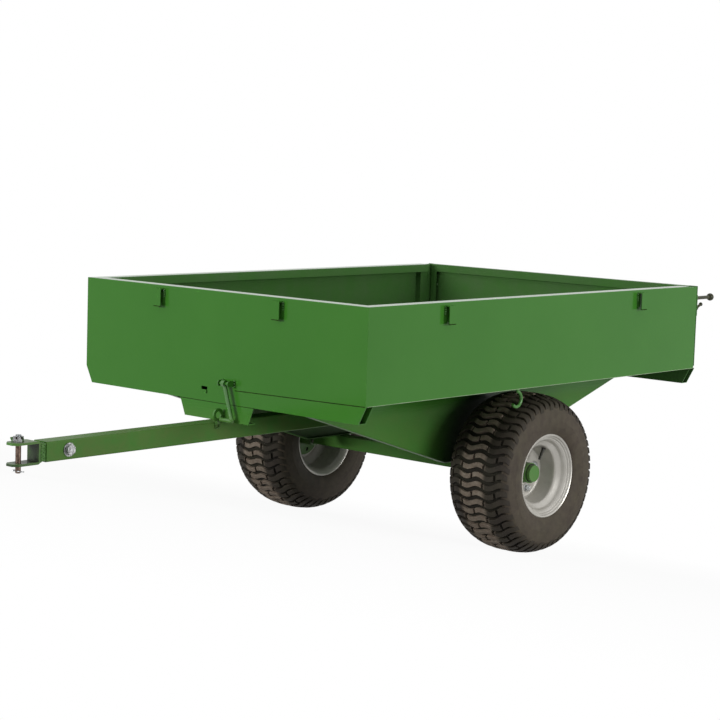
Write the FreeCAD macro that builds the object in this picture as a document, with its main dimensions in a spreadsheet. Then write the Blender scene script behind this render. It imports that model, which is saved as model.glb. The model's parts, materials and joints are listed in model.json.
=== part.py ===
import FreeCAD, Part
import math
import os
from types import SimpleNamespace

import Sketcher

# Steel tipping trailer for a lawn tractor: an open tub on two V-shaped side
# plates, one axle with two turf wheels, a drawbar that the tub tips on, and a
# tailgate hinged along its bottom edge.
#
# Every piece is drawn with the trailer level: X = 0 is the axle, +X runs to the
# hitch, +Y to the left side, Z = 0 is the ground. At the end all pieces get the
# placement in which the trailer parks, resting on its wheels and hitch pin.

os.makedirs("parts", exist_ok=True)
doc = FreeCAD.newDocument("garden_trailer")
sheet = doc.addObject("Spreadsheet::Sheet", "Sizes")

# ---------------------------------------------------------------- driving sizes
# alias, value in millimetres (degrees where it says so), what it measures
TABLE = (
    ("tub_length", 1515, "tub, front face to tailgate face"),
    ("tub_width", 1075, "tub, over the side walls"),
    ("wall_height", 252.5, "side wall, bottom edge to top flange"),
    ("bed_height", 489.5, "ground to the underside of the floor"),
    ("tub_forward", 42.5, "middle of the tub ahead of the axle"),
    ("sheet_metal", 2, "thickness of walls, floor and channels"),
    ("sheet_bend", 1.8, "outer bend radius of folded sheet, under its thickness"),
    ("tube_corner", 4, "outer corner radius of square tube"),
    ("flange_width", 40, "fold along the top of each wall"),
    ("lip_depth", 25, "turned-down lip on the inner edge of the fold"),
    ("channel_depth", 27, "cross channel, front to back"),
    ("channel_height", 47.5, "cross channel, top to bottom"),
    ("corner_inset", 25, "how far the channel's lower corners step in"),
    ("slot_width", 23, "keeper slot in the front wall"),
    ("slot_height", 9, "keeper slot in the front wall"),
    ("slot_notch", 4, "notch down from the keeper slot, width"),
    ("slot_notch_deep", 10, "notch down from the keeper slot, depth"),
    ("slot_side", 47.5, "keeper slot, distance right of the middle"),
    ("slot_below", 13, "keeper slot, middle below the floor"),
    ("post_width", 60, "rear corner post, along the wall"),
    ("post_depth", 20, "rear corner post, in from the wall"),
    ("flange_short", 41, "side wall's top fold ends this far before its rear edge"),
    ("gate_depth", 18, "tailgate pan, front to back"),
    ("gate_gap", 5, "air round the tailgate"),
    ("gate_lip", 23, "side lip of the tailgate pan"),
    ("gate_inset", 1.5, "tailgate edge in from the side wall's face"),
    ("hinge_side", 330, "tailgate hinge, distance from the middle"),
    ("hinge_out", 8, "tailgate hinge axis behind the tailgate face"),
    ("hinge_barrel", 14, "tailgate hinge barrel diameter"),
    ("hinge_pin", 8, "tailgate hinge pin diameter"),
    ("hinge_length", 60, "tailgate hinge, end to end"),
    ("hinge_leaf", 3, "tailgate hinge leaf thickness"),
    ("leaf_height", 36, "tailgate hinge leaf, from the axis"),
    ("knuckle_gap", 0.5, "air between hinge knuckles"),
    ("running_gap", 0.05, "radial clearance of a turning fit"),
    ("plate_thick", 3, "V plate thickness"),
    ("plate_spread", 560, "V plates, outside to outside"),
    ("plate_flat", 232, "flat bottom of the V plate"),
    ("plate_flange", 25, "turned-in bottom edge of the V plate"),
    ("plate_bend", 4, "outer bend radius of the V plate"),
    ("beam_size", 40, "square axle beam"),
    ("beam_wall", 4, "axle beam wall thickness"),
    ("beam_length", 730, "axle beam, end to end"),
    ("stub_flange", 8, "end plate of a stub axle"),
    ("stub_shaft", 25, "stub axle diameter"),
    ("track", 857.4, "wheel centre to wheel centre"),
    ("tyre_diameter", 457.2, "tyre outside diameter"),
    ("tyre_width", 207, "tyre section width"),
    ("tread_width", 182, "tyre tread, shoulder to shoulder"),
    ("shoulder_drop", 20, "how much lower the tread lies at its shoulders"),
    ("tyre_wall", 7, "tyre side wall thickness"),
    ("tread_thick", 13, "tyre thickness under the tread"),
    ("bead_diameter", 203.2, "bead seat of the rim"),
    ("rim_width", 177.8, "between the rim's flanges"),
    ("rim_flange", 15.4, "rim flange height over the bead seat"),
    ("rim_edge", 4, "rolled rim flange thickness"),
    ("rim_sheet", 3, "rim barrel thickness"),
    ("rim_well", 168, "drop centre diameter"),
    ("disc_out", 9.3, "wheel disc outboard of the wheel centre"),
    ("disc_thick", 4, "wheel disc thickness"),
    ("lug_circle", 100, "circle of the four wheel bolts"),
    ("lug_bolt", 12, "wheel bolt diameter"),
    ("hub_barrel", 58, "hub barrel diameter"),
    ("hub_flange", 128, "hub flange diameter"),
    ("hub_flange_thick", 8, "hub flange thickness"),
    ("hub_inner", 56, "hub, disc to inner end"),
    ("hub_outer", 26, "hub, disc to outer end"),
    ("cap_diameter", 47, "dust cap diameter"),
    ("cap_length", 12, "dust cap length"),
    ("cap_wall", 3, "dust cap thickness"),
    ("shaft_short", 8, "air at the stub axle's end inside the cap"),
    ("drawbar_size", 51, "square drawbar tube"),
    ("drawbar_wall", 3, "drawbar wall thickness"),
    ("drawbar_height", 368.5, "ground to the drawbar's middle"),
    ("drawbar_end", 1400, "drawbar front end ahead of the axle"),
    ("pivot_shaft", 20, "tipping shaft diameter"),
    ("pivot_bush", 36, "tipping bush outside diameter"),
    ("bush_length", 80, "tipping bush length"),
    ("collar_diameter", 32, "collar beside the bush"),
    ("collar_width", 8, "collar beside the bush"),
    ("collar_gap", 1, "air between bush and collar"),
    ("saddle_top", 282, "saddle width at the tub"),
    ("saddle_bottom", 244, "saddle width at the drawbar"),
    ("saddle_thick", 3, "saddle plate thickness"),
    ("saddle_seam", 1.5, "seam between the front wall and the saddle"),
    ("rest_gap", 0.3, "saddle above the drawbar"),
    ("neck_size", 44.6, "square neck inside the drawbar's mouth"),
    ("neck_in", 100, "length of neck inside the drawbar"),
    ("neck_out", 16, "length of neck ahead of the drawbar"),
    ("clevis_height", 58, "hitch clevis, outside"),
    ("clevis_thick", 6, "hitch clevis plate thickness"),
    ("clevis_width", 46, "hitch clevis plate width"),
    ("clevis_length", 80, "hitch clevis, back to front"),
    ("clevis_bend", 10, "hitch clevis outer bend radius"),
    ("clevis_nose", 12, "cut corners of the clevis ears"),
    ("pin_back", 28, "hitch pin behind the clevis nose"),
    ("pin_diameter", 14, "hitch pin diameter"),
    ("pin_below", 19.5, "hitch pin below the clevis"),
    ("pin_above", 18, "hitch pin above the clevis"),
    ("pin_chamfer", 1.5, "chamfer on the hitch pin's end"),
    ("pin_gap", 0.2, "radial clearance of the hitch pin in the clevis"),
    ("pin_nut", 28, "nut on the hitch pin, across corners"),
    ("pin_nut_high", 14, "nut on the hitch pin, height"),
    ("nut_slot", 4.5, "slots in the castle nut, width"),
    ("nut_slot_deep", 6, "slots in the castle nut, depth"),
    ("clip_wire", 4, "wire clip through the hitch pin"),
    ("clip_length", 30, "wire clip, end to end"),
    ("clip_rise", 5, "wire clip above the pin's end"),
    ("bolt_back", 70, "hitch bolt behind the drawbar's end"),
    ("bolt_diameter", 16, "hitch bolt diameter"),
    ("bolt_head", 28, "hitch bolt head, across corners"),
    ("bolt_head_high", 9, "hitch bolt head height"),
    ("washer_diameter", 35, "washer under the hitch bolt"),
    ("washer_thick", 2.5, "washer thickness"),
    ("eye_ahead", 20, "latch eye centre ahead of the front wall"),
    ("eye_above", 19, "latch eye centre above the drawbar"),
    ("eye_ring", 36, "latch eye outside diameter"),
    ("eye_hole", 20, "latch eye hole diameter"),
    ("eye_thick", 6, "latch eye thickness"),
    ("eye_stem", 12, "latch eye stem width"),
    ("eye_weld", 6, "latch eye stem below the drawbar's top"),
    ("latch_ahead", 18, "latch pivot ahead of the front wall"),
    ("latch_above", 10, "latch pivot above the floor's underside"),
    ("latch_side", 47.5, "middle of the latch lugs left of the middle"),
    ("lug_spread", 41, "latch lugs, outside to outside"),
    ("lug_thick", 4, "latch lug thickness"),
    ("lug_radius", 8, "rounded end of a latch lug"),
    ("latch_pin", 8, "latch pivot pin diameter"),
    ("lever_rod", 11, "latch lever diameter"),
    ("lever_drop", 98, "latch lever length"),
    ("lever_lean", 32, "latch lever leans this far to the left"),
    ("finger_gap", 5, "air between the lever's finger and the eye"),
    ("hook_width", 27, "tie hook width"),
    ("hook_height", 50, "tie hook height"),
    ("hook_root", 42, "tie hook, length of the leg on the wall"),
    ("hook_thick", 3, "tie hook plate thickness"),
    ("hook_off", 16, "tie hook stand-off, outside"),
    ("hook_below", 8, "tie hook below the top flange"),
    ("front_hooks", 227, "front tie hooks, distance from the middle"),
    ("side_hooks", 444, "side tie hooks, distance from the tub's middle"),
    ("rope_wire", 9, "rope hook wire diameter"),
    ("rope_radius", 21, "rope hook bend, centre line"),
    ("rope_ahead", 173, "rope hook ahead of the axle"),
    ("rope_drop", 28, "rope hook centre below the side wall"),
    ("handle_in", 17.5, "tailgate handle, in from the side wall's face"),
    ("handle_height", 214, "tailgate handle above the floor's underside"),
    ("handle_rod", 11, "tailgate handle rod diameter"),
    ("handle_reach", 98, "tailgate handle, face to knob centre"),
    ("handle_knob", 23, "tailgate handle knob diameter"),
    ("handle_round", 5.5, "rounding of the knob's ends"),
    ("latch_plate_wide", 50, "tailgate latch plate width"),
    ("latch_plate_high", 64, "tailgate latch plate height"),
    ("latch_plate_thick", 3, "tailgate latch plate thickness"),
    ("gate_bolt_in", 40.5, "tailgate latch bolt, in from the side wall's face"),
    ("gate_bolt_up", 181.5, "tailgate latch bolt above the floor's underside"),
    ("gate_bolt", 10, "tailgate latch bolt diameter"),
    ("gate_bolt_head", 16, "tailgate latch bolt head diameter"),
    ("gate_bolt_high", 5, "tailgate latch bolt head height"),
    ("release_rod", 8, "tailgate release stub diameter"),
    ("release_reach", 46, "tailgate release stub, face to tip"),
    ("release_rise", 20, "tailgate release stub, root to tip"),
)


class Size:
    """A length that knows its number and its formula in the document."""

    def __init__(self, value, formula):
        self.value = float(value)
        self.formula = formula

    def combine(self, sign, other, value):
        return Size(value, f"({self.formula} {sign} {size(other).formula})")

    def __add__(self, other):
        return self.combine("+", other, self.value + size(other).value)

    def __sub__(self, other):
        return self.combine("-", other, self.value - size(other).value)

    def __mul__(self, other):
        return self.combine("*", other, self.value * size(other).value)

    def __truediv__(self, other):
        return self.combine("/", other, self.value / size(other).value)

    def __radd__(self, other):
        return size(other) + self

    def __rsub__(self, other):
        return size(other) - self

    def __rmul__(self, other):
        return size(other) * self

    def __neg__(self):
        return size(-1) * self


def size(number):
    if isinstance(number, Size):
        return number
    return Size(number, f"({float(number)})")


def fill_sheet():
    named = {}
    for row, (alias, value, meaning) in enumerate(TABLE, start=1):
        sheet.set(f"A{row}", alias)
        sheet.set(f"B{row}", str(value))
        sheet.set(f"C{row}", meaning)
        sheet.setAlias(f"B{row}", alias)
        named[alias] = Size(value, f"Sizes.{alias}")
    doc.recompute()
    return SimpleNamespace(**named)


S = fill_sheet()

# ------------------------------------------------------------- shared positions
AXLE_Z = S.tyre_diameter / 2
FRONT_X = S.tub_forward + S.tub_length / 2
REAR_X = S.tub_forward - S.tub_length / 2
HALF_W = S.tub_width / 2
BED_Z = S.bed_height
TOP_Z = BED_Z + S.wall_height
APRON_Z = BED_Z - S.channel_height
FLOOR_TOP = BED_Z + S.sheet_metal
WALL_END_X = REAR_X + S.sheet_metal + S.gate_gap
GATE_BOTTOM = FLOOR_TOP + S.gate_gap
HINGE_X = REAR_X - S.hinge_out
HINGE_Z = (BED_Z + GATE_BOTTOM) / 2
BEAM_TOP = AXLE_Z + S.beam_size / 2
DRAWBAR_TOP = S.drawbar_height + S.drawbar_size / 2
NOSE_X = S.drawbar_end + S.neck_out + S.clevis_length
PIN_X = NOSE_X - S.pin_back
PIN_BOTTOM = S.drawbar_height - S.clevis_height / 2 - S.pin_below
WHEEL_Y = S.track / 2
SIDES = (("left", 1), ("right", -1))
OVER = 1  # how far a cutting outline runs past the metal it cuts


# ------------------------------------------------------------- modelling helpers
NORMAL = {"XY": 1, "XZ": -1, "YZ": 1}  # which way a sketch on the plane faces
parts = []


def new_part(name):
    body = doc.addObject("PartDesign::Body", name)
    body.Label = name
    body.AllowCompound = True
    parts.append(body)
    return body


def bind(thing, field, length):
    thing.setExpression(field, size(length).formula)


def tie(sketch, geometry, point, u, v):
    """Hold a point of the sketch at u, v from its origin."""
    for kind, length in (("DistanceX", size(u)), ("DistanceY", size(v))):
        number = sketch.addConstraint(
            Sketcher.Constraint(kind, -1, 1, geometry, point, length.value))
        sketch.setExpression(f"Constraints[{number}]", length.formula)


def vector(u, v):
    return FreeCAD.Vector(size(u).value, size(v).value, 0)


def add_lines(sketch, points, closed):
    count = len(points)
    first = len(sketch.Geometry)
    lines = count if closed else count - 1
    for i in range(lines):
        start, end = vector(*points[i]), vector(*points[(i + 1) % count])
        sketch.addGeometry(Part.LineSegment(start, end), False)
    for i in range(lines):
        tie(sketch, first + i, 1, *points[i])
        if closed or i + 1 < lines:
            following = first + (i + 1) % lines
            sketch.addConstraint(Sketcher.Constraint("Coincident", first + i, 2, following, 1))
        else:
            tie(sketch, first + i, 2, *points[-1])


def add_circle(sketch, u, v, diameter):
    number = len(sketch.Geometry)
    radius = size(diameter) / 2
    sketch.addGeometry(Part.Circle(vector(u, v), FreeCAD.Vector(0, 0, 1), radius.value), False)
    tie(sketch, number, 3, u, v)
    rule = sketch.addConstraint(Sketcher.Constraint("Radius", number, radius.value))
    sketch.setExpression(f"Constraints[{rule}]", radius.formula)


def disc(u, v, diameter):
    return ("disc", u, v, diameter)


def rectangle(u0, v0, u1, v1):
    return [(u0, v0), (u1, v0), (u1, v1), (u0, v1)]


def hexagon(u, v, across):
    """A hexagon with two corners on the v axis; across is corner to corner."""
    half = size(across) / 2
    flat = half * math.cos(math.radians(30))
    return [(u, v + half), (u - flat, v + half / 2), (u - flat, v - half / 2),
            (u, v - half), (u + flat, v - half / 2), (u + flat, v + half / 2)]


def turned_bar(u, v, length, width, turn):
    """Long rectangle centred at u, v and turned by an angle in radians."""
    along_u, along_v = length / 2 * math.cos(turn), length / 2 * math.sin(turn)
    over_u, over_v = width / 2 * -math.sin(turn), width / 2 * math.cos(turn)
    return [(u + along_u + over_u, v + along_v + over_v),
            (u - along_u + over_u, v - along_v + over_v),
            (u - along_u - over_u, v - along_v - over_v),
            (u + along_u - over_u, v + along_v - over_v)]


def sketch_on(body, plane, level, outlines):
    sketch = body.newObject("Sketcher::SketchObject", body.Name + "_sketch")
    planes = {feature.Role: feature for feature in body.Origin.OriginFeatures}
    sketch.AttachmentSupport = (planes[plane + "_Plane"], [""])
    sketch.MapMode = "FlatFace"
    bind(sketch, "AttachmentOffset.Base.z", size(level) * NORMAL[plane])
    for outline in outlines:
        if outline[0] == "disc":
            add_circle(sketch, *outline[1:])
        else:
            add_lines(sketch, outline, closed=True)
    return sketch


def pad(body, plane, low, high, *outlines):
    """Metal from low to high, measured along the axis square to the plane."""
    start = high if NORMAL[plane] < 0 else low
    feature = body.newObject("PartDesign::Pad", body.Name + "_pad")
    feature.Profile = sketch_on(body, plane, start, outlines)
    bind(feature, "Length", size(high) - low)
    body.Tip = feature
    return feature


def cut(body, plane, low, high, *outlines):
    """Take metal away from low to high, and make sure that some went."""
    doc.recompute()
    before = body.Shape.Volume
    start = low if NORMAL[plane] < 0 else high
    feature = body.newObject("PartDesign::Pocket", body.Name + "_cut")
    feature.Profile = sketch_on(body, plane, start, outlines)
    bind(feature, "Length", size(high) - low)
    body.Tip = feature
    doc.recompute()
    if not body.Shape.Volume < before:
        raise ValueError(f"{body.Label}: a cut took nothing away")
    return feature


def revolve(body, outline):
    """Turn a section, given as (along Y, radius), round the body's Y axis."""
    feature = body.newObject("PartDesign::Revolution", body.Name + "_turned")
    profile = sketch_on(body, "YZ", 0, [outline])
    feature.Profile = profile
    feature.ReferenceAxis = (profile, ["H_Axis"])
    feature.Angle = 360
    body.Tip = feature
    return feature


def round_edges(body, radius, wanted):
    """Fillet every edge of the body that the test picks out."""
    doc.recompute()
    base = body.Tip
    names = [f"Edge{i}" for i, edge in enumerate(base.Shape.Edges, start=1) if wanted(edge)]
    if not names:
        raise ValueError(f"{body.Label}: no edge to round")
    feature = body.newObject("PartDesign::Fillet", body.Name + "_round")
    feature.Base = (base, names)
    bind(feature, "Radius", radius)
    body.Tip = feature
    return feature


def along(axis, fixed):
    """Picks straight edges along an axis that lie at the given coordinates."""

    def test(edge):
        box = edge.BoundBox
        lengths = {"x": box.XLength, "y": box.YLength, "z": box.ZLength}
        centre = {"x": box.Center.x, "y": box.Center.y, "z": box.Center.z}
        longest = max(lengths.values())
        square = all(lengths[name] < 0.01 for name in lengths if name != axis)
        placed = all(abs(centre[name] - size(value).value) < 0.01 for name, value in fixed.items())
        return square and placed and lengths[axis] == longest and longest > 1

    return test


def any_of(*tests):
    return lambda edge: any(test(edge) for test in tests)


def tube_corners(axis, first, second):
    """Picks the four long corner edges of a square tube."""
    (name, low, high), (other, bottom, top) = first, second
    return any_of(*(along(axis, {name: a, other: b}) for a in (low, high) for b in (bottom, top)))


def straight_rod(body, plane, level, start, end, diameter, *more):
    """Round bar along the points given on a plane, mitred round where it turns."""
    path = sketch_on(body, plane, level, [])
    points = [start, end, *more]
    add_lines(path, points, closed=False)
    doc.recompute()
    profile = body.newObject("Sketcher::SketchObject", body.Name + "_section")
    profile.AttachmentSupport = [(path, "Edge1")]
    profile.MapMode = "NormalToEdge"
    add_circle(profile, 0, 0, diameter)
    doc.recompute()
    feature = body.newObject("PartDesign::AdditivePipe", body.Name + "_rod")
    feature.Profile = profile
    feature.Spine = (path, [f"Edge{i}" for i in range(1, len(points))])
    feature.Transition = "Round corner"
    body.Tip = feature
    return feature


def span(side, near, far):
    """Low and high Y of a piece that lies between two distances on one side."""
    if side > 0:
        return size(near), size(far)
    return -size(far), -size(near)


# -------------------------------------------------------------------- tub panels
def channel_end(z):
    """Half the width of the front wall and channels at a height under the floor."""
    return HALF_W - S.corner_inset * (BED_Z - z) / S.channel_height


def channel_strip(z0, z1):
    """Upright strip across the tub between two heights, with stepped-in ends."""
    return [(-channel_end(z0), z0), (channel_end(z0), z0),
            (channel_end(z1), z1), (-channel_end(z1), z1)]


def keeper_slot():
    middle = BED_Z - S.slot_below
    top, bottom = middle + S.slot_height / 2, middle - S.slot_height / 2
    left, right = -S.slot_side + S.slot_width / 2, -S.slot_side - S.slot_width / 2
    return [(right, top), (right, bottom), (left - S.slot_notch, bottom),
            (left - S.slot_notch, bottom - S.slot_notch_deep),
            (left, bottom - S.slot_notch_deep), (left, top)]


def front_wall():
    body = new_part("front_wall")
    inner_x = FRONT_X - S.sheet_metal
    lip_x = FRONT_X - S.flange_width
    lip_y = HALF_W - S.flange_width
    fold_y = HALF_W - S.sheet_metal
    pad(body, "YZ", inner_x, FRONT_X,
        [(-HALF_W, TOP_Z), (-HALF_W, BED_Z), (-channel_end(APRON_Z), APRON_Z),
         (channel_end(APRON_Z), APRON_Z), (HALF_W, BED_Z), (HALF_W, TOP_Z)])
    pad(body, "XY", TOP_Z - S.sheet_metal, TOP_Z,
        [(inner_x, -fold_y), (inner_x, fold_y), (lip_x, lip_y), (lip_x, -lip_y)])
    pad(body, "YZ", lip_x, lip_x + S.sheet_metal,
        rectangle(-lip_y, TOP_Z - S.lip_depth, lip_y, TOP_Z - S.sheet_metal))
    cut(body, "YZ", inner_x - OVER, FRONT_X + OVER, keeper_slot())
    round_edges(body, S.sheet_bend, any_of(along("y", {"x": FRONT_X, "z": TOP_Z}),
                                           along("y", {"x": lip_x, "z": TOP_Z})))


def side_wall(name, side):
    body = new_part(f"{name}_side_wall")
    low, high = span(side, HALF_W - S.sheet_metal, HALF_W)
    inner_x = FRONT_X - S.sheet_metal
    lip_x = FRONT_X - S.flange_width
    fold_x = WALL_END_X + S.flange_short
    pad(body, "XZ", low, high,
        [(WALL_END_X, BED_Z), (inner_x, BED_Z), (inner_x, TOP_Z), (fold_x, TOP_Z),
         (fold_x, TOP_Z - S.sheet_metal), (WALL_END_X, TOP_Z - S.sheet_metal)])
    fold_y, lip_y = side * (HALF_W - S.sheet_metal), side * (HALF_W - S.flange_width)
    pad(body, "XY", TOP_Z - S.sheet_metal, TOP_Z,
        [(fold_x, fold_y), (inner_x, fold_y), (lip_x, lip_y), (fold_x, lip_y)])
    low, high = span(side, HALF_W - S.flange_width, HALF_W - S.flange_width + S.sheet_metal)
    pad(body, "XZ", low, high,
        rectangle(fold_x, TOP_Z - S.lip_depth, lip_x + S.sheet_metal, TOP_Z - S.sheet_metal))
    round_edges(body, S.sheet_bend, any_of(along("x", {"y": side * HALF_W, "z": TOP_Z}),
                                           along("x", {"y": lip_y, "z": TOP_Z})))


def floor_panel():
    """The floor lies between the walls and is notched for the rear corner posts."""
    body = new_part("floor_panel")
    half = HALF_W - S.sheet_metal
    notch_y = half - S.post_depth
    notch_x = WALL_END_X + S.post_width
    front_x = FRONT_X - S.sheet_metal
    pad(body, "XY", BED_Z, FLOOR_TOP,
        [(WALL_END_X, -notch_y), (notch_x, -notch_y), (notch_x, -half), (front_x, -half),
         (front_x, half), (notch_x, half), (notch_x, notch_y), (WALL_END_X, notch_y)])


def cross_channel(name, outer_x, inward):
    """U channel under the floor; inward is -1 at the front and 1 at the rear."""
    body = new_part(name)

    def strip(from_x, to_x, z0, z1):
        low, high = (from_x, to_x) if inward > 0 else (to_x, from_x)
        pad(body, "YZ", low, high, channel_strip(z0, z1))

    inner_x = outer_x + inward * (S.channel_depth - S.sheet_metal)
    strip(outer_x, outer_x + inward * S.sheet_metal, APRON_Z, BED_Z)
    strip(inner_x, inner_x + inward * S.sheet_metal, APRON_Z, BED_Z)
    strip(outer_x, inner_x, APRON_Z, APRON_Z + S.sheet_metal)
    return body


def cross_channels():
    # The front channel is nested behind the front wall, one sheet further back.
    front = cross_channel("front_channel", FRONT_X - S.sheet_metal, -1)
    cut(front, "YZ", FRONT_X - S.sheet_metal * 3, FRONT_X, keeper_slot())
    cross_channel("rear_channel", REAR_X, 1)


def rear_post(name, side):
    body = new_part(f"{name}_rear_post")
    outer, inner = HALF_W - S.sheet_metal, HALF_W - S.sheet_metal - S.post_depth
    front_x = WALL_END_X + S.post_width
    wall = S.sheet_metal
    pad(body, "XY", BED_Z, TOP_Z - S.sheet_metal,
        rectangle(WALL_END_X, side * inner, front_x, side * outer))
    cut(body, "XY", BED_Z - OVER, TOP_Z,
        rectangle(WALL_END_X + wall, side * (inner + wall), front_x - wall, side * (outer - wall)))


# ------------------------------------------------------------------ under the tub
def v_plate(name, side):
    body = new_part(f"{name}_v_plate")
    rear_x = REAR_X + S.channel_depth
    front_x = FRONT_X - S.channel_depth - S.sheet_metal
    flat = [S.tub_forward - S.plate_flat / 2, S.tub_forward + S.plate_flat / 2]
    lower = [(rear_x, APRON_Z), (flat[0], BEAM_TOP), (flat[1], BEAM_TOP), (front_x, APRON_Z)]
    raised = [(x, z + S.plate_thick) for x, z in lower]
    outer = S.plate_spread / 2
    low, high = span(side, outer - S.plate_thick, outer)
    pad(body, "XZ", low, high, lower + [(front_x, BED_Z), (rear_x, BED_Z)])
    low, high = span(side, outer - S.plate_flange, outer - S.plate_thick)
    pad(body, "XZ", low, high, lower + raised[::-1])

    def outer_bend(edge):
        middle = edge.BoundBox.Center
        level = abs(edge.Vertexes[0].Point.y - edge.Vertexes[-1].Point.y) < 0.01
        at_face = abs(abs(middle.y) - outer.value) < 0.01
        return level and at_face and edge.BoundBox.ZMax < APRON_Z.value + 0.01

    round_edges(body, S.plate_bend, outer_bend)


def axle_beam():
    body = new_part("axle_beam")
    half, hollow = S.beam_size / 2, S.beam_size / 2 - S.beam_wall
    ends = S.beam_length / 2
    pad(body, "XZ", -ends, ends, rectangle(-half, AXLE_Z - half, half, AXLE_Z + half),
        rectangle(-hollow, AXLE_Z - hollow, hollow, AXLE_Z + hollow))
    round_edges(body, S.tube_corner, tube_corners(
        "y", ("x", -half, half), ("z", AXLE_Z - half, AXLE_Z + half)))


def stub_axle(name, side):
    body = new_part(f"{name}_stub_axle")
    start = S.beam_length / 2
    half = S.beam_size / 2
    shaft_end = WHEEL_Y + S.disc_out + S.hub_outer + S.cap_length - S.cap_wall - S.shaft_short
    low, high = span(side, start, start + S.stub_flange)
    pad(body, "XZ", low, high, rectangle(-half, AXLE_Z - half, half, AXLE_Z + half))
    low, high = span(side, start + S.stub_flange, shaft_end)
    pad(body, "XZ", low, high, disc(0, AXLE_Z, S.stub_shaft))


def pivot_shaft():
    body = new_part("pivot_shaft")
    end = S.plate_spread / 2 - S.plate_thick
    pad(body, "XZ", -end, end, disc(0, S.drawbar_height, S.pivot_shaft))
    body = new_part("pivot_collars")
    near = S.bush_length / 2 + S.collar_gap
    for side in (1, -1):
        low, high = span(side, near, near + S.collar_width)
        pad(body, "XZ", low, high, disc(0, S.drawbar_height, S.collar_diameter),
            disc(0, S.drawbar_height, S.pivot_shaft))


def saddle():
    """Bracket under the front wall that rests on the drawbar when the tub is down."""
    body = new_part("drawbar_saddle")
    bottom = DRAWBAR_TOP + S.rest_gap
    top_y, bottom_y = S.saddle_top / 2, S.saddle_bottom / 2
    front_x, back_x = FRONT_X, FRONT_X - S.channel_depth
    pad(body, "YZ", front_x - S.saddle_thick, front_x,
        [(-top_y, APRON_Z - S.saddle_seam), (-bottom_y, bottom),
         (bottom_y, bottom), (top_y, APRON_Z - S.saddle_seam)])
    pad(body, "XY", bottom, bottom + S.saddle_thick,
        rectangle(back_x, -bottom_y, front_x - S.saddle_thick, bottom_y))
    pad(body, "XY", APRON_Z - S.saddle_thick, APRON_Z,
        rectangle(back_x, -top_y, front_x - S.saddle_thick, top_y))


# --------------------------------------------------------- fittings on the panels
def tie_hook(body, plane, face, outward, middle):
    """Strip folded over at the top: one leg on the wall, one hanging free of it."""
    top = TOP_Z - S.hook_below
    wide = S.hook_width / 2

    def plate(near, far, height):
        ends = face + outward * near, face + outward * far
        low, high = ends if outward > 0 else ends[::-1]
        pad(body, plane, low, high, rectangle(middle - wide, top - height, middle + wide, top))

    plate(size(0), S.hook_thick, S.hook_root)
    plate(S.hook_thick, S.hook_off - S.hook_thick, S.hook_thick)
    plate(S.hook_off - S.hook_thick, S.hook_off, S.hook_height)


def tie_hooks():
    body = new_part("front_tie_hooks")
    for middle in (-S.front_hooks, S.front_hooks):
        tie_hook(body, "YZ", FRONT_X, 1, middle)
    for name, side in SIDES:
        body = new_part(f"{name}_tie_hooks")
        for middle in (S.tub_forward - S.side_hooks, S.tub_forward + S.side_hooks):
            tie_hook(body, "XZ", side * HALF_W, side, middle)


def rope_hooks():
    """Open rings of round bar that hang under the side walls."""
    body = new_part("rope_hooks")
    centre_z = BED_Z - S.rope_drop
    for side in (1, -1):
        y = side * (HALF_W - S.rope_wire / 2)
        bend = [math.radians(angle) for angle in range(100, 321, 20)]
        points = [(S.rope_ahead + S.rope_radius * math.cos(bend[0]), BED_Z)]
        points += [(S.rope_ahead + S.rope_radius * math.cos(a), centre_z + S.rope_radius * math.sin(a))
                   for a in bend]
        straight_rod(body, "XZ", y, points[0], points[1], S.rope_wire, *points[2:])


def latch_lugs():
    body = new_part("latch_lugs")
    z = BED_Z + S.latch_above
    x = FRONT_X + S.latch_ahead
    for side in (1, -1):
        outer = S.latch_side + side * S.lug_spread / 2
        inner = outer - side * S.lug_thick
        low, high = (inner, outer) if side > 0 else (outer, inner)
        pad(body, "XZ", low, high, rectangle(FRONT_X, z - S.lug_radius, x, z + S.lug_radius))
        pad(body, "XZ", low, high, disc(x, z, S.lug_radius * 2))
    pad(body, "XZ", S.latch_side - S.lug_spread / 2, S.latch_side + S.lug_spread / 2,
        disc(x, z, S.latch_pin))


def latch_lever():
    """Bent bar that hangs from the lugs; its finger points at the drawbar's eye."""
    body = new_part("latch_lever")
    x = FRONT_X + S.latch_ahead
    z = BED_Z + S.latch_above
    top_y = S.latch_side
    bottom = (top_y + S.lever_lean, z - S.lever_drop)
    eye_y = S.drawbar_size / 2 + S.eye_thick
    straight_rod(body, "YZ", x, (top_y, z), bottom, S.lever_rod,
                 (eye_y + S.finger_gap, z - S.lever_drop))
    pad(body, "XZ", top_y - S.lever_rod / 2, top_y + S.lever_rod / 2,
        disc(x, z, S.lever_rod + S.latch_pin))
    cut(body, "XZ", top_y - S.lever_rod, top_y + S.lever_rod,
        disc(x, z, S.latch_pin + S.running_gap * 2))


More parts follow.
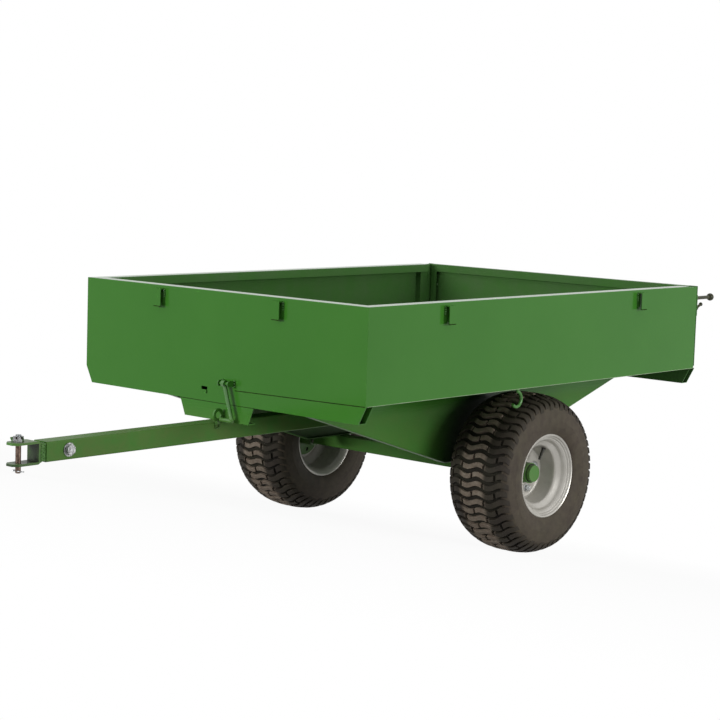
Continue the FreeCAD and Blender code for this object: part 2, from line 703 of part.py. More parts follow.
# ----------------------------------------------------------------------- tailgate
def tailgate():
    """Skin that covers the ends of the walls, with a folded pan between the posts."""
    body = new_part("tailgate_panel")
    skin = HALF_W - S.gate_inset
    half = HALF_W - S.sheet_metal - S.post_depth - S.gate_gap
    wall = S.sheet_metal
    front_x = REAR_X + S.gate_depth
    pad(body, "YZ", REAR_X, REAR_X + wall, rectangle(-skin, GATE_BOTTOM, skin, TOP_Z))
    pad(body, "XY", TOP_Z - wall, TOP_Z, rectangle(REAR_X + wall, -half, front_x, half))
    pad(body, "XY", GATE_BOTTOM, GATE_BOTTOM + wall,
        rectangle(REAR_X + wall, -half, front_x, half))
    pad(body, "YZ", front_x - wall, front_x,
        rectangle(-half, TOP_Z - S.lip_depth, half, TOP_Z - wall))
    for side in (1, -1):
        low, high = span(side, half - wall, half)
        pad(body, "XZ", low, high,
            rectangle(REAR_X + wall, GATE_BOTTOM + wall, front_x, TOP_Z - wall))
        pad(body, "YZ", front_x - wall, front_x,
            rectangle(side * (half - S.gate_lip), GATE_BOTTOM + wall,
                      side * (half - wall), TOP_Z - S.lip_depth))
    round_edges(body, S.sheet_bend, any_of(along("y", {"x": REAR_X, "z": TOP_Z}),
                                           along("y", {"x": front_x, "z": TOP_Z})))
    bolt_z = BED_Z + S.gate_bolt_up
    bolt_y = HALF_W - S.gate_bolt_in
    cut(body, "YZ", REAR_X - OVER, REAR_X + wall + OVER,
        disc(-bolt_y, bolt_z, S.gate_bolt), disc(bolt_y, bolt_z, S.gate_bolt))


def knuckle(body, low, high):
    pad(body, "XZ", low, high, disc(HINGE_X, HINGE_Z, S.hinge_barrel),
        disc(HINGE_X, HINGE_Z, S.hinge_pin + S.running_gap * 2))


def hinge_leaf(body, middle, way, inner, outer):
    """Leaf of a hinge with a tongue to its knuckle; way is 1 for up, -1 for down."""
    face_x = REAR_X - S.hinge_leaf
    half = S.hinge_length / 2
    clear = HINGE_Z + way * (S.hinge_barrel / 2 + S.gate_gap / 2)
    far = HINGE_Z + way * S.leaf_height
    pad(body, "YZ", face_x, REAR_X, rectangle(middle - half, clear, middle + half, far))
    pad(body, "YZ", face_x, REAR_X,
        rectangle(middle + inner, HINGE_Z + way * S.hinge_pin / 2, middle + outer, clear))


def tailgate_hinges():
    middle_half = S.hinge_length / 6
    fixed = new_part("tailgate_hinge_seats")
    swinging = new_part("tailgate_hinge_leaves")
    pins = new_part("tailgate_hinge_pins")
    for side in (1, -1):
        middle = side * S.hinge_side
        knuckle(swinging, middle - middle_half, middle + middle_half)
        hinge_leaf(swinging, middle, 1, -middle_half, middle_half)
        near, far = middle_half + S.knuckle_gap, S.hinge_length / 2
        for inner, outer in ((near, far), (-far, -near)):
            pad(fixed, "XZ", middle + inner, middle + outer,
                disc(HINGE_X, HINGE_Z, S.hinge_barrel), disc(HINGE_X, HINGE_Z, S.hinge_pin))
            hinge_leaf(fixed, middle, -1, inner, outer)
        pad(pins, "XZ", middle - far, middle + far, disc(HINGE_X, HINGE_Z, S.hinge_pin))


def tailgate_latches():
    body = new_part("tailgate_latches")
    handle_z = BED_Z + S.handle_height
    bolt_z = BED_Z + S.gate_bolt_up
    face_x = REAR_X - S.latch_plate_thick
    knob_x = REAR_X - S.handle_reach
    for side in (1, -1):
        handle_y = side * (HALF_W - S.handle_in)
        outer = side * (HALF_W - S.gate_inset)
        inner = side * (HALF_W - S.gate_inset - S.latch_plate_wide)
        pad(body, "YZ", face_x, REAR_X,
            rectangle(inner, handle_z + S.handle_rod - S.latch_plate_high,
                      outer, handle_z + S.handle_rod))
        pad(body, "YZ", knob_x, face_x, disc(handle_y, handle_z, S.handle_rod))
        bolt_y = side * (HALF_W - S.gate_bolt_in)
        pad(body, "YZ", REAR_X, REAR_X + S.sheet_metal, disc(bolt_y, bolt_z, S.gate_bolt))
        pad(body, "YZ", REAR_X + S.sheet_metal, REAR_X + S.sheet_metal + S.gate_bolt_high,
            disc(bolt_y, bolt_z, S.gate_bolt_head))
        straight_rod(body, "XZ", handle_y,
                     (REAR_X - S.latch_plate_thick / 2, bolt_z - S.release_rod),
                     (REAR_X - S.release_reach, bolt_z - S.release_rod + S.release_rise),
                     S.release_rod)
        pad(body, "YZ", knob_x - S.handle_knob / 2, knob_x + S.handle_knob / 2,
            disc(handle_y, handle_z, S.handle_knob))

    def knob_rim(edge):
        off = abs(edge.BoundBox.Center.x - knob_x.value)
        return abs(off - S.handle_knob.value / 2) < 0.01 and edge.BoundBox.YLength > S.handle_rod.value + 1

    round_edges(body, S.handle_round, knob_rim)


# ------------------------------------------------------------------------ drawbar
def drawbar():
    body = new_part("drawbar_tube")
    half, hollow = S.drawbar_size / 2, S.drawbar_size / 2 - S.drawbar_wall
    z = S.drawbar_height
    pad(body, "YZ", 0, S.drawbar_end, rectangle(-half, z - half, half, z + half),
        rectangle(-hollow, z - hollow, hollow, z + hollow))
    round_edges(body, S.tube_corner, tube_corners(
        "x", ("y", -half, half), ("z", z - half, z + half)))
    cut(body, "XZ", -half - OVER, half + OVER, disc(0, z, S.pivot_bush))
    cut(body, "XZ", -half - OVER, half + OVER,
        disc(S.drawbar_end - S.bolt_back, z, S.bolt_diameter))
    # The tube starts on the bush, so the horns above and below it are trimmed.
    cut(body, "YZ", -OVER, S.pivot_bush / 4,
        rectangle(-half - OVER, z - half - OVER, half + OVER, z + half + OVER))


def drawbar_bush():
    body = new_part("drawbar_bush")
    half = S.bush_length / 2
    pad(body, "XZ", -half, half, disc(0, S.drawbar_height, S.pivot_bush),
        disc(0, S.drawbar_height, S.pivot_shaft + S.running_gap * 2))


def hitch_neck():
    body = new_part("hitch_neck")
    half = S.neck_size / 2
    z = S.drawbar_height
    pad(body, "YZ", S.drawbar_end - S.neck_in, S.drawbar_end + S.neck_out,
        rectangle(-half, z - half, half, z + half))
    cut(body, "XZ", -half - OVER, half + OVER,
        disc(S.drawbar_end - S.bolt_back, z, S.bolt_diameter))


def hitch_clevis():
    body = new_part("hitch_clevis")
    back_x = NOSE_X - S.clevis_length
    half, wall = S.clevis_height / 2, S.clevis_thick
    z = S.drawbar_height
    side_y = S.clevis_width / 2
    pad(body, "XZ", -side_y, side_y,
        [(back_x, z - half), (NOSE_X, z - half), (NOSE_X, z - half + wall),
         (back_x + wall, z - half + wall), (back_x + wall, z + half - wall),
         (NOSE_X, z + half - wall), (NOSE_X, z + half), (back_x, z + half)])
    nose = S.clevis_nose
    for side in (1, -1):
        corner = side * (side_y + OVER)
        cut(body, "XY", z - half - OVER, z + half + OVER,
            [(NOSE_X - nose - OVER, corner), (NOSE_X + OVER, side * (side_y - nose - OVER)),
             (NOSE_X + OVER, corner)])
    cut(body, "XY", z - half - OVER, z + half + OVER, disc(PIN_X, 0, S.pin_diameter + S.pin_gap * 2))

    def back_corner(edge):
        middle = edge.BoundBox.Center
        across = edge.BoundBox.YLength > S.clevis_width.value - 0.01
        return across and abs(middle.x - back_x.value) < 0.01

    round_edges(body, S.clevis_bend, back_corner)


def hitch_pin():
    body = new_part("hitch_pin")
    top = S.drawbar_height + S.clevis_height / 2 + S.pin_above
    tip = S.pin_diameter - S.pin_chamfer * 2
    pad(body, "XY", PIN_BOTTOM, PIN_BOTTOM + S.pin_chamfer, disc(PIN_X, 0, tip))
    pad(body, "XY", PIN_BOTTOM + S.pin_chamfer, top, disc(PIN_X, 0, S.pin_diameter))
    clip_z = PIN_BOTTOM + S.clip_rise
    cut(body, "XZ", -S.pin_diameter, S.pin_diameter, disc(PIN_X, clip_z, S.clip_wire))

    body = new_part("hitch_pin_nut")
    seat = S.drawbar_height + S.clevis_height / 2
    nut_top = seat + S.pin_nut_high
    pad(body, "XY", seat, nut_top, hexagon(PIN_X, size(0), S.pin_nut),
        disc(PIN_X, 0, S.pin_diameter))
    for turn in (math.radians(30 + 60 * i) for i in range(3)):
        cut(body, "XY", nut_top - S.nut_slot_deep, nut_top + OVER,
            turned_bar(PIN_X, size(0), S.pin_nut, S.nut_slot, turn))

    body = new_part("hitch_pin_clip")
    pad(body, "XZ", -S.clip_length / 2, S.clip_length / 2, disc(PIN_X, clip_z, S.clip_wire))


def hitch_bolt():
    body = new_part("hitch_bolt")
    x, z = S.drawbar_end - S.bolt_back, S.drawbar_height
    side_y = S.drawbar_size / 2
    pad(body, "XZ", -side_y, side_y, disc(x, z, S.bolt_diameter))
    for side in (1, -1):
        low, high = span(side, side_y, side_y + S.washer_thick)
        pad(body, "XZ", low, high, disc(x, z, S.washer_diameter))
        low, high = span(side, side_y + S.washer_thick, side_y + S.washer_thick + S.bolt_head_high)
        pad(body, "XZ", low, high, hexagon(x, z, S.bolt_head))


def latch_eye():
    """Eye on the drawbar's left side that the latch lever's finger holds."""
    body = new_part("latch_eye")
    x, z = FRONT_X + S.eye_ahead, DRAWBAR_TOP + S.eye_above
    near = S.drawbar_size / 2
    far = near + S.eye_thick
    pad(body, "XZ", near, far, disc(x, z, S.eye_ring))
    pad(body, "XZ", near, far,
        rectangle(x - S.eye_stem / 2, DRAWBAR_TOP - S.eye_weld, x + S.eye_stem / 2, z))
    cut(body, "XZ", near - OVER, far + OVER, disc(x, z, S.eye_hole))


# ------------------------------------------------------------------------- wheels
# A wheel is drawn about its own centre, with y pointing away from the trailer.
def wheel_side(side, outline):
    """Mirror a section for the right-hand wheel."""
    return [(side * size(y), r) for y, r in outline]


def tyre(name, side):
    """Crowned tread on a round-shouldered carcass that sits on the rim's seats."""
    body = new_part(f"{name}_tyre")
    crown = S.tyre_diameter / 2
    bead = S.bead_diameter / 2
    half, tread, foot = S.tyre_width / 2, S.tread_width / 2, S.rim_width / 2
    bulge = bead + (crown - bead) * 0.45
    lip = bead + S.rim_flange
    wall = S.tyre_wall

    def tread_arc(steps, depth):
        return [(tread * t, crown - depth - S.shoulder_drop * t ** 3) for t in steps]

    shoulder = crown - S.shoulder_drop
    outer = tread_arc((0.4, 0.6, 0.75, 0.9, 1), 0)
    outer += [(tread + (half - tread) * 0.55, bulge + (shoulder - bulge) * 0.82),
              (tread + (half - tread) * 0.9, bulge + (shoulder - bulge) * 0.4), (half, bulge)]
    outer += [(foot, lip), (foot, bead), (foot - wall * 2, bead), (foot - wall * 2, bead + wall)]
    inner = [(half - wall * 1.5, bulge)] + tread_arc((0.85, 0.6), S.tread_thick)
    loop = outer + inner
    mirrored = [(-y, r) for y, r in loop]
    revolve(body, wheel_side(side, loop + mirrored[::-1]))
    return body


def rim(name, side):
    body = new_part(f"{name}_rim")
    edge, sheet_t = S.rim_edge, S.rim_sheet
    foot = S.rim_width / 2
    seat, well = S.bead_diameter / 2, S.rim_well / 2
    lip = seat + S.rim_flange
    inner = [(foot + edge, lip), (foot + edge, seat - sheet_t), (foot * 0.75, seat - sheet_t * 2),
             (foot * 0.55, well - sheet_t), (foot * 0.06, well - sheet_t),
             (-foot * 0.12, seat - sheet_t * 2), (-foot - edge, seat - sheet_t), (-foot - edge, lip)]
    outer = [(-foot, lip), (-foot, seat), (-foot * 0.12, seat - sheet_t), (foot * 0.06, well),
             (foot * 0.55, well), (foot * 0.75, seat - sheet_t), (foot, seat), (foot, lip)]
    revolve(body, wheel_side(side, inner + outer))
    # The dished disc is welded inside the drop centre.
    back, face = S.disc_out - S.disc_thick, S.disc_out
    low, high = span(side, back, face)
    pad(body, "XZ", low, high, disc(0, 0, (well - sheet_t) * 2))
    holes = [disc(S.lug_circle / 2 * math.cos(turn), S.lug_circle / 2 * math.sin(turn), S.lug_bolt)
             for turn in (math.radians(72 + 90 * i) for i in range(4))]
    cut(body, "XZ", low - OVER, high + OVER, disc(0, 0, S.hub_barrel), *holes)
    return body


def hub(name, side):
    body = new_part(f"{name}_hub")
    back = S.disc_out - S.disc_thick
    bore = S.stub_shaft + S.running_gap * 2

    def drum(near, far, diameter):
        low, high = span(side, near, far)
        pad(body, "XZ", low, high, disc(0, 0, diameter), disc(0, 0, bore))

    drum(back - S.hub_inner, S.disc_out + S.hub_outer, S.hub_barrel)
    drum(back - S.hub_flange_thick, back, S.hub_flange)
    holes = [disc(S.lug_circle / 2 * math.cos(turn), S.lug_circle / 2 * math.sin(turn), S.lug_bolt)
             for turn in (math.radians(72 + 90 * i) for i in range(4))]
    low, high = span(side, back - S.hub_flange_thick - OVER, back + OVER)
    cut(body, "XZ", low, high, *holes)
    return body


def hub_cap(name, side):
    body = new_part(f"{name}_hub_cap")
    near = S.disc_out + S.hub_outer
    far = near + S.cap_length
    low, high = span(side, near, far)
    pad(body, "XZ", low, high, disc(0, 0, S.cap_diameter))
    low, high = span(side, near - OVER, far - S.cap_wall)
    cut(body, "XZ", low, high, disc(0, 0, S.cap_diameter - S.cap_wall * 2))
    return body


# ------------------------------------------------------------------ build it all
front_wall()
floor_panel()
cross_channels()
axle_beam()
pivot_shaft()
saddle()
tie_hooks()
rope_hooks()
latch_lugs()
latch_lever()
tailgate()
tailgate_hinges()
tailgate_latches()
drawbar()
drawbar_bush()
hitch_neck()
hitch_clevis()
hitch_pin()
hitch_bolt()
latch_eye()
wheels = []
for name, side in SIDES:
    side_wall(name, side)
    rear_post(name, side)
    v_plate(name, side)
    stub_axle(name, side)
    for piece in (tyre, rim, hub, hub_cap):
        wheels.append((piece(name, side), side))
doc.recompute()

# ------------------------------------------------------------------ park the trailer
# It has no jack, so it tilts about the axle until the lower edge of the hitch
# pin's tip is on the ground. Its frame's origin is under the middle of its box.
tip_x = (PIN_X + S.pin_diameter / 2 - S.pin_chamfer).value
tip_z = (PIN_BOTTOM - AXLE_Z).value
reach = math.hypot(tip_x, tip_z)
pitch = math.asin(AXLE_Z.value / reach) + math.atan2(tip_z, tip_x)


def parked_x(x, z):
    """Distance ahead of the axle, once tilted, of a point on the level trailer."""
    return x.value * math.cos(pitch) + (z - AXLE_Z).value * math.sin(pitch)


nose = parked_x(NOSE_X, S.drawbar_height + S.clevis_height / 2)
knob = parked_x(REAR_X - S.handle_reach, BED_Z + S.handle_height) - S.handle_knob.value / 2
middle_x = (nose + knob) / 2
axle = FreeCAD.Vector(0, 0, AXLE_Z.value)
tilt = FreeCAD.Rotation(FreeCAD.Vector(0, 1, 0), math.degrees(pitch))
parked = FreeCAD.Placement(axle - tilt.multVec(axle) - FreeCAD.Vector(middle_x, 0, 0), tilt)
for body in parts:
    body.Placement = parked
for body, side in wheels:
    centre = FreeCAD.Vector(0, side * WHEEL_Y.value, AXLE_Z.value)
    body.Placement = parked.multiply(FreeCAD.Placement(centre, FreeCAD.Rotation()))
doc.recompute()
print(f"pitch {math.degrees(pitch):.5f} degrees, origin {middle_x:.4f} mm ahead of the axle")

# ----------------------------------------------------------------- check and export
for item in doc.Objects:
    if "Invalid" in item.State or "Error" in item.State:
        raise ValueError(f"{item.Label} failed: {item.State}")
for body in parts:
    if body.Shape.isNull() or not body.Shape.isValid() or not body.Shape.Solids:
        raise ValueError(f"{body.Label} has no sound shape")
for body in parts:
    body.Shape.exportStep(f"parts/{body.Label}.step")
print(f"{len(parts)} nodes written")
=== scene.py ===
# %% [markdown]
# # Lawn tractor trailer
# A steel garden trailer is folded sheet and square tube with a glossy powder coat.
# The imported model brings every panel, tube and wheel at its real size. This lesson
# adds what a welder, a tyre mould and a paint line leave on them, then lights it
# and sets the camera.

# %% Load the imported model
import json
from math import atan2, cos, degrees, exp, radians, sin, tau

import bpy
import bmesh
from mathutils import Matrix, Vector


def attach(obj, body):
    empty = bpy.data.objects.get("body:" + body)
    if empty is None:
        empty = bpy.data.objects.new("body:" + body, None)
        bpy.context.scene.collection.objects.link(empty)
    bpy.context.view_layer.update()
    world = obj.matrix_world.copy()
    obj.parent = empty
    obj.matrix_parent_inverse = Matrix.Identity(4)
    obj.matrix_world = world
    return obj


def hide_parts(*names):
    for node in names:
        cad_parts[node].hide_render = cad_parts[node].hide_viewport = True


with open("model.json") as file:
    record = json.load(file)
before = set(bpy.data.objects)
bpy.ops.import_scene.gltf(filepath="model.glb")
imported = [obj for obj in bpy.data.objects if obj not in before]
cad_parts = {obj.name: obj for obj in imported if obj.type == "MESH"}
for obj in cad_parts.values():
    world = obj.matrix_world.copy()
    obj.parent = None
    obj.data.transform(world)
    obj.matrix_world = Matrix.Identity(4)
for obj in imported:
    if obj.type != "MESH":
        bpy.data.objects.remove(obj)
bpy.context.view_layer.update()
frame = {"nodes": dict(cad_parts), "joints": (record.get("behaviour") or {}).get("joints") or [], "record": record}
MM = 0.001
SCENE = bpy.context.scene

# %% [markdown]
# ## Level frame
# The trailer is parked nose down, so its own axes are turned from the world's.
# Pieces are easier to place in the level frame, where X is 0 at the axle, +X runs to
# the hitch and Z is 0 at the ground. Two joints on the tub give the turn: the wheel's
# axis and the tipping shaft are a known distance apart.

# %% Parked pose from the joints
JOINTS = {joint["name"]: joint for joint in frame["joints"]}
AXLE_HEIGHT = 228.6
PIVOT_HEIGHT = 368.5
WHEEL_Y = JOINTS["left_wheel_spin"]["pos_m"][1] / MM
axle_at = Vector(JOINTS["left_wheel_spin"]["pos_m"])
axle_at.y = 0
pivot_at = Vector(JOINTS["tub_tip"]["pos_m"])
upright = pivot_at - axle_at
PITCH = atan2(upright.x, upright.z)
LEVEL = (Matrix.Translation(axle_at) @ Matrix.Rotation(PITCH, 4, "Y")
         @ Matrix.Translation((0, 0, -AXLE_HEIGHT * MM)) @ Matrix.Scale(MM, 4))
print("parked nose down by", round(degrees(PITCH), 3), "degrees")
print("shaft over axle:", round(upright.length / MM + AXLE_HEIGHT - PIVOT_HEIGHT, 3), "mm off")

# %% [markdown]
# ## Camera
# A long lens, far off at the left front corner and low enough to see only a little of
# the tub's inside. It is placed in the level frame.

# %% Camera
def new_object(name, data):
    """An object in the scene with that data."""
    made = bpy.data.objects.new(name, data)
    SCENE.collection.objects.link(made)
    return made


CAMERA_AT = Vector((4460.3, 3780.2, 1162.2))
RIGHT = Vector((-0.6744, 0.7378, 0.0306))
UP = Vector((-0.0574, -0.0937, 0.9939))
BACK = RIGHT.cross(UP).normalized()
UP = BACK.cross(RIGHT).normalized()
RIGHT = UP.cross(BACK).normalized()
camera_data = bpy.data.cameras.new("camera")
camera_data.sensor_width = 36
camera_data.lens = 98.47
camera_data.shift_x = 0.0228
camera_data.shift_y = -0.0194
camera_data.clip_end = 100
camera = new_object("camera", camera_data)
turn = LEVEL.to_3x3().normalized() @ Matrix((RIGHT, UP, BACK)).transposed()
camera.matrix_world = Matrix.Translation(LEVEL @ CAMERA_AT) @ turn.to_4x4()
SCENE.camera = camera
print("camera:", round((LEVEL @ CAMERA_AT).length, 2), "m off")

# %% [markdown]
# ## One helper for every node tree
# Shaders, the world and Geometry Nodes are all trees of nodes. One helper adds a
# node, sets its options, and fills each input with a value or a link.

# %% Node helper and colours
def linear(colour):
    """sRGB hex such as "#4a7a3c" as the linear RGBA that Blender works in."""
    parts = [int(colour[i:i + 2], 16) / 255 for i in (1, 3, 5)]
    return [c / 12.92 if c <= 0.04045 else ((c + 0.055) / 1.055) ** 2.4 for c in parts] + [1]


def add_node(tree, kind, inputs=None, **settings):
    """A new node; an input takes a value, an sRGB hex, or the node or output that feeds it."""
    node = tree.nodes.new(kind)
    for key, value in settings.items():
        setattr(node, key, value)
    for key, value in (inputs or {}).items():
        if isinstance(value, bpy.types.Node):
            value = value.outputs[0]
        if isinstance(value, bpy.types.NodeSocket):
            tree.links.new(value, node.inputs[key])
        else:
            node.inputs[key].default_value = linear(value) if isinstance(value, str) else value
    return node


print("mid grey in linear light:", round(linear("#808080")[0], 3))

# %% Material helpers
def new_material(name):
    """A material with an empty tree and the object's own coordinates."""
    material = bpy.data.materials.new(name)
    material.use_nodes = True
    material.node_tree.nodes.clear()
    where = add_node(material.node_tree, "ShaderNodeTexCoord").outputs["Object"]
    return material, material.node_tree, where


def end_material(tree, surface):
    """Ends a tree with one principled surface that has those inputs."""
    shader = add_node(tree, "ShaderNodeBsdfPrincipled", surface)
    add_node(tree, "ShaderNodeOutputMaterial", {"Surface": shader})


def seen(tree):
    """1 for rays from the camera, a gloss or clear glass, and 0 for light."""
    ray = add_node(tree, "ShaderNodeLightPath").outputs
    gloss = add_node(tree, "ShaderNodeMath", {
        0: ray["Is Glossy Ray"], 1: ray["Is Transmission Ray"]}, operation="MAXIMUM")
    return add_node(tree, "ShaderNodeMath", {
        0: ray["Is Camera Ray"], 1: gloss}, operation="MAXIMUM")

# %% [markdown]
# ## Studio
# The trailer stands in a white studio. One soft box faces the front wall and one the
# side wall, both at the tub's own height, so hooks throw short shadows and the inside
# of the tub stays dim. The room fills the rest. Its white is only what the camera and
# mirror-like reflections see, and its light is a plain level.

# %% World
WORLD_LEVEL = 0.52
world = bpy.data.worlds.new("white_studio")
SCENE.world = world
world.use_nodes = True
sky = world.node_tree
sky.nodes.clear()
WHITE = "#ffffff"
room = add_node(sky, "ShaderNodeBackground", {"Color": WHITE, "Strength": WORLD_LEVEL})
white = add_node(sky, "ShaderNodeBackground", {"Color": WHITE, "Strength": 1})
both = add_node(sky, "ShaderNodeMixShader", {0: seen(sky), 1: room, 2: white})
add_node(sky, "ShaderNodeOutputWorld", {"Surface": both})
SCENE.view_settings.view_transform = "Standard"
print("the room lights at", WORLD_LEVEL, "of white")

# %% Soft boxes: name, place and aim in the level frame in mm, power in watts
LAMPS = (("left_soft_box", (6640, -1400, 1250), (700, 0, 450), 545),
         ("right_soft_box", (-1350, 6400, 1250), (0, 500, 450), 192))
LAMP_WIDE = 2.4
for name, place, aim, power in LAMPS:
    light = bpy.data.lights.new(name, "AREA")
    light.shape = "DISK"
    light.size = LAMP_WIDE
    light.energy = power
    lamp = new_object(name, light)
    lamp.visible_camera = False
    start = LEVEL @ Vector(place)
    way = LEVEL @ Vector(aim) - start
    lamp.matrix_world = (Matrix.Translation(start)
                         @ way.to_track_quat("-Z", "Y").to_matrix().to_4x4())
print("lamps:", [row[0] for row in LAMPS])

# %% [markdown]
# ## Floor
# White paper on the ground. To the camera most of its white is the paper's own, and
# all of it some metres away, so the shadow stays a pale grey and the far floor meets
# the white room without a line. To light it is grey, so the underside stays dark.

# %% White floor
FLOOR_HALF = 30.0
FLOOR_GLOW, GLOW_FROM, GLOW_FULL = 0.94, 1.2, 3.5
FLOOR_BOUNCE, FLOOR_MIRRORED = 0.4, 0.75
floor_mesh = bpy.data.meshes.new("studio_floor")
floor_mesh.from_pydata([(x * FLOOR_HALF, y * FLOOR_HALF, 0)
                        for x, y in ((-1, -1), (1, -1), (1, 1), (-1, 1))], [], [(0, 1, 2, 3)])
floor = new_object("studio_floor", floor_mesh)
paper, tree, where = new_material("matt_white_floor")
grain = add_node(tree, "ShaderNodeTexNoise", {"Vector": where, "Scale": 2.0})
tone = add_node(tree, "ShaderNodeMapRange", {"Value": grain, "To Min": 0.78, "To Max": 0.82})
looked_at = add_node(tree, "ShaderNodeLightPath").outputs["Is Camera Ray"]
bounce = add_node(tree, "ShaderNodeMix", {0: looked_at, 2: FLOOR_BOUNCE, 3: tone})
matt = add_node(tree, "ShaderNodeBsdfDiffuse", {"Color": bounce})
glow = add_node(tree, "ShaderNodeEmission", {"Color": WHITE, "Strength": 1})
far = add_node(tree, "ShaderNodeVectorMath", {0: where}, operation="LENGTH")
share = add_node(tree, "ShaderNodeMapRange", {
    "Value": far.outputs["Value"], "From Min": GLOW_FROM, "From Max": GLOW_FULL,
    "To Min": FLOOR_GLOW, "To Max": 1.0})
mirrored = add_node(tree, "ShaderNodeMath", {
    0: seen(tree), 1: FLOOR_MIRRORED}, operation="MULTIPLY")
shown = add_node(tree, "ShaderNodeMath", {0: looked_at, 1: mirrored}, operation="MAXIMUM")
part = add_node(tree, "ShaderNodeMath", {0: shown, 1: share}, operation="MULTIPLY")
surface = add_node(tree, "ShaderNodeMixShader", {0: part, 1: matt, 2: glow})
add_node(tree, "ShaderNodeOutputMaterial", {"Surface": surface})
floor_mesh.materials.append(paper)
print("floor:", 2 * FLOOR_HALF, "m wide")

# %% [markdown]
# ## Gloss powder coat
# The sheet metal is sprayed with polyester powder and baked. That gives one smooth
# skin over welds and edges, full gloss, with a fine orange peel. A dielectric
# with an IOR of 1.5 does it. The peel's waves are 3 mm, drawn here 6 mm wide so that
# they show, and thin sheet between two bends is never quite flat, which a wide,
# low bump gives.

# %% Patterns that the finishes share
def bumped(tree, where, waves):
    """Chained bumps; each wave is (width in mm, height in mm, strength)."""
    normal = None
    for width, height, strength in waves:
        noise = add_node(tree, "ShaderNodeTexNoise", {
            "Vector": where, "Scale": 1 / (width * MM), "Detail": 2.0, "Roughness": 0.5})
        inputs = {"Height": noise, "Strength": strength, "Distance": height * MM}
        if normal:
            inputs["Normal"] = normal
        normal = add_node(tree, "ShaderNodeBump", inputs)
    return normal


def clouded(tree, where, width, low=0.0, high=1.0, detail=3.0):
    """A soft noise of that width in mm, turned to run from low to high."""
    noise = add_node(tree, "ShaderNodeTexNoise", {
        "Vector": where, "Scale": 1 / (width * MM), "Detail": detail, "Roughness": 0.6})
    return add_node(tree, "ShaderNodeMapRange", {
        "Value": noise, "From Min": 0.3, "From Max": 0.7, "To Min": low, "To Max": high})


def layered(tree, shade, *coats):
    """Lays coats over a colour, each as (share, colour)."""
    for share, colour in coats:
        shade = add_node(tree, "ShaderNodeMix", {
            0: share, 6: shade, 7: colour}, data_type="RGBA").outputs[2]
    return shade

# %% [markdown]
# ## Dust and painted shade
# Dust settles on faces that look into the tub, and road dust on what hangs below it.
# Outer corners and deep hollows, such as a closed channel, get painted shade. Dust
# follows place and direction; the painted shade follows how much of the sky a point
# can see, which an Ambient Occlusion node measures. The tub's inner faces get none.

# %% Where dust and painted shade lie
LEVEL_UP = LEVEL.inverted()[2]
TUB_HEART = LEVEL @ Vector((42.5, 0, 700))
LOW_FROM, LOW_FULL, BED_FROM, BED_FULL = 435.0, 400.0, 485.0, 490.0


def level_height(tree, where):
    """Height in mm over the ground when the trailer stands level."""
    dot = add_node(tree, "ShaderNodeVectorMath", {
        0: where, 1: LEVEL_UP[:3]}, operation="DOT_PRODUCT")
    return add_node(tree, "ShaderNodeMath", {
        0: dot.outputs["Value"], 1: LEVEL_UP[3]}, operation="ADD")


def hanging_low(tree, where):
    """1 on what hangs below the tub, 0 on the tub."""
    return add_node(tree, "ShaderNodeMapRange", {
        "Value": level_height(tree, where), "From Min": LOW_FROM, "From Max": LOW_FULL})


def facing_heart(tree, where):
    """1 where a face looks at the middle of the tub, 0 or less where it looks away."""
    toward = add_node(tree, "ShaderNodeVectorMath", {0: TUB_HEART, 1: where}, operation="SUBTRACT")
    way = add_node(tree, "ShaderNodeVectorMath", {0: toward}, operation="NORMALIZE")
    dot = add_node(tree, "ShaderNodeVectorMath", {
        0: way, 1: where.node.outputs["Normal"]}, operation="DOT_PRODUCT")
    return dot.outputs["Value"]


def outside(tree, where, inward):
    """0 on the tub's inner faces, which get no painted shade, and 1 elsewhere."""
    turned = add_node(tree, "ShaderNodeMapRange", {"Value": inward, "From Max": 0.1})
    above = add_node(tree, "ShaderNodeMapRange", {
        "Value": level_height(tree, where), "From Min": BED_FROM, "From Max": BED_FULL})
    swept = add_node(tree, "ShaderNodeMath", {0: turned, 1: above}, operation="MULTIPLY")
    return add_node(tree, "ShaderNodeMath", {0: 1.0, 1: swept}, operation="SUBTRACT")


def crevice_shade(tree, reach, shut, open_, most):
    """Painted shade, up to most, where under shut of the sky is free within reach in mm; 0 past open_."""
    free = add_node(tree, "ShaderNodeAmbientOcclusion", {"Distance": reach * MM}, samples=8)
    dirt = add_node(tree, "ShaderNodeMapRange", {
        "Value": free.outputs["AO"], "From Min": open_, "From Max": shut})
    return add_node(tree, "ShaderNodeMath", {0: dirt, 1: most}, operation="MINIMUM")


print("the tub's heart is at", [round(c, 3) for c in TUB_HEART])

# %% Green powder coats
PEEL_MM, SHEET_WAVE_MM = 6.0, 260.0
# Painted shade in corners and in hollows: reach in mm, the free sky where it is darkest, and the free sky where it
# ends.
CORNER_SHADE, HOLLOW_SHADE = (12.0, 0.05, 0.48), (60.0, 0.03, 0.2)


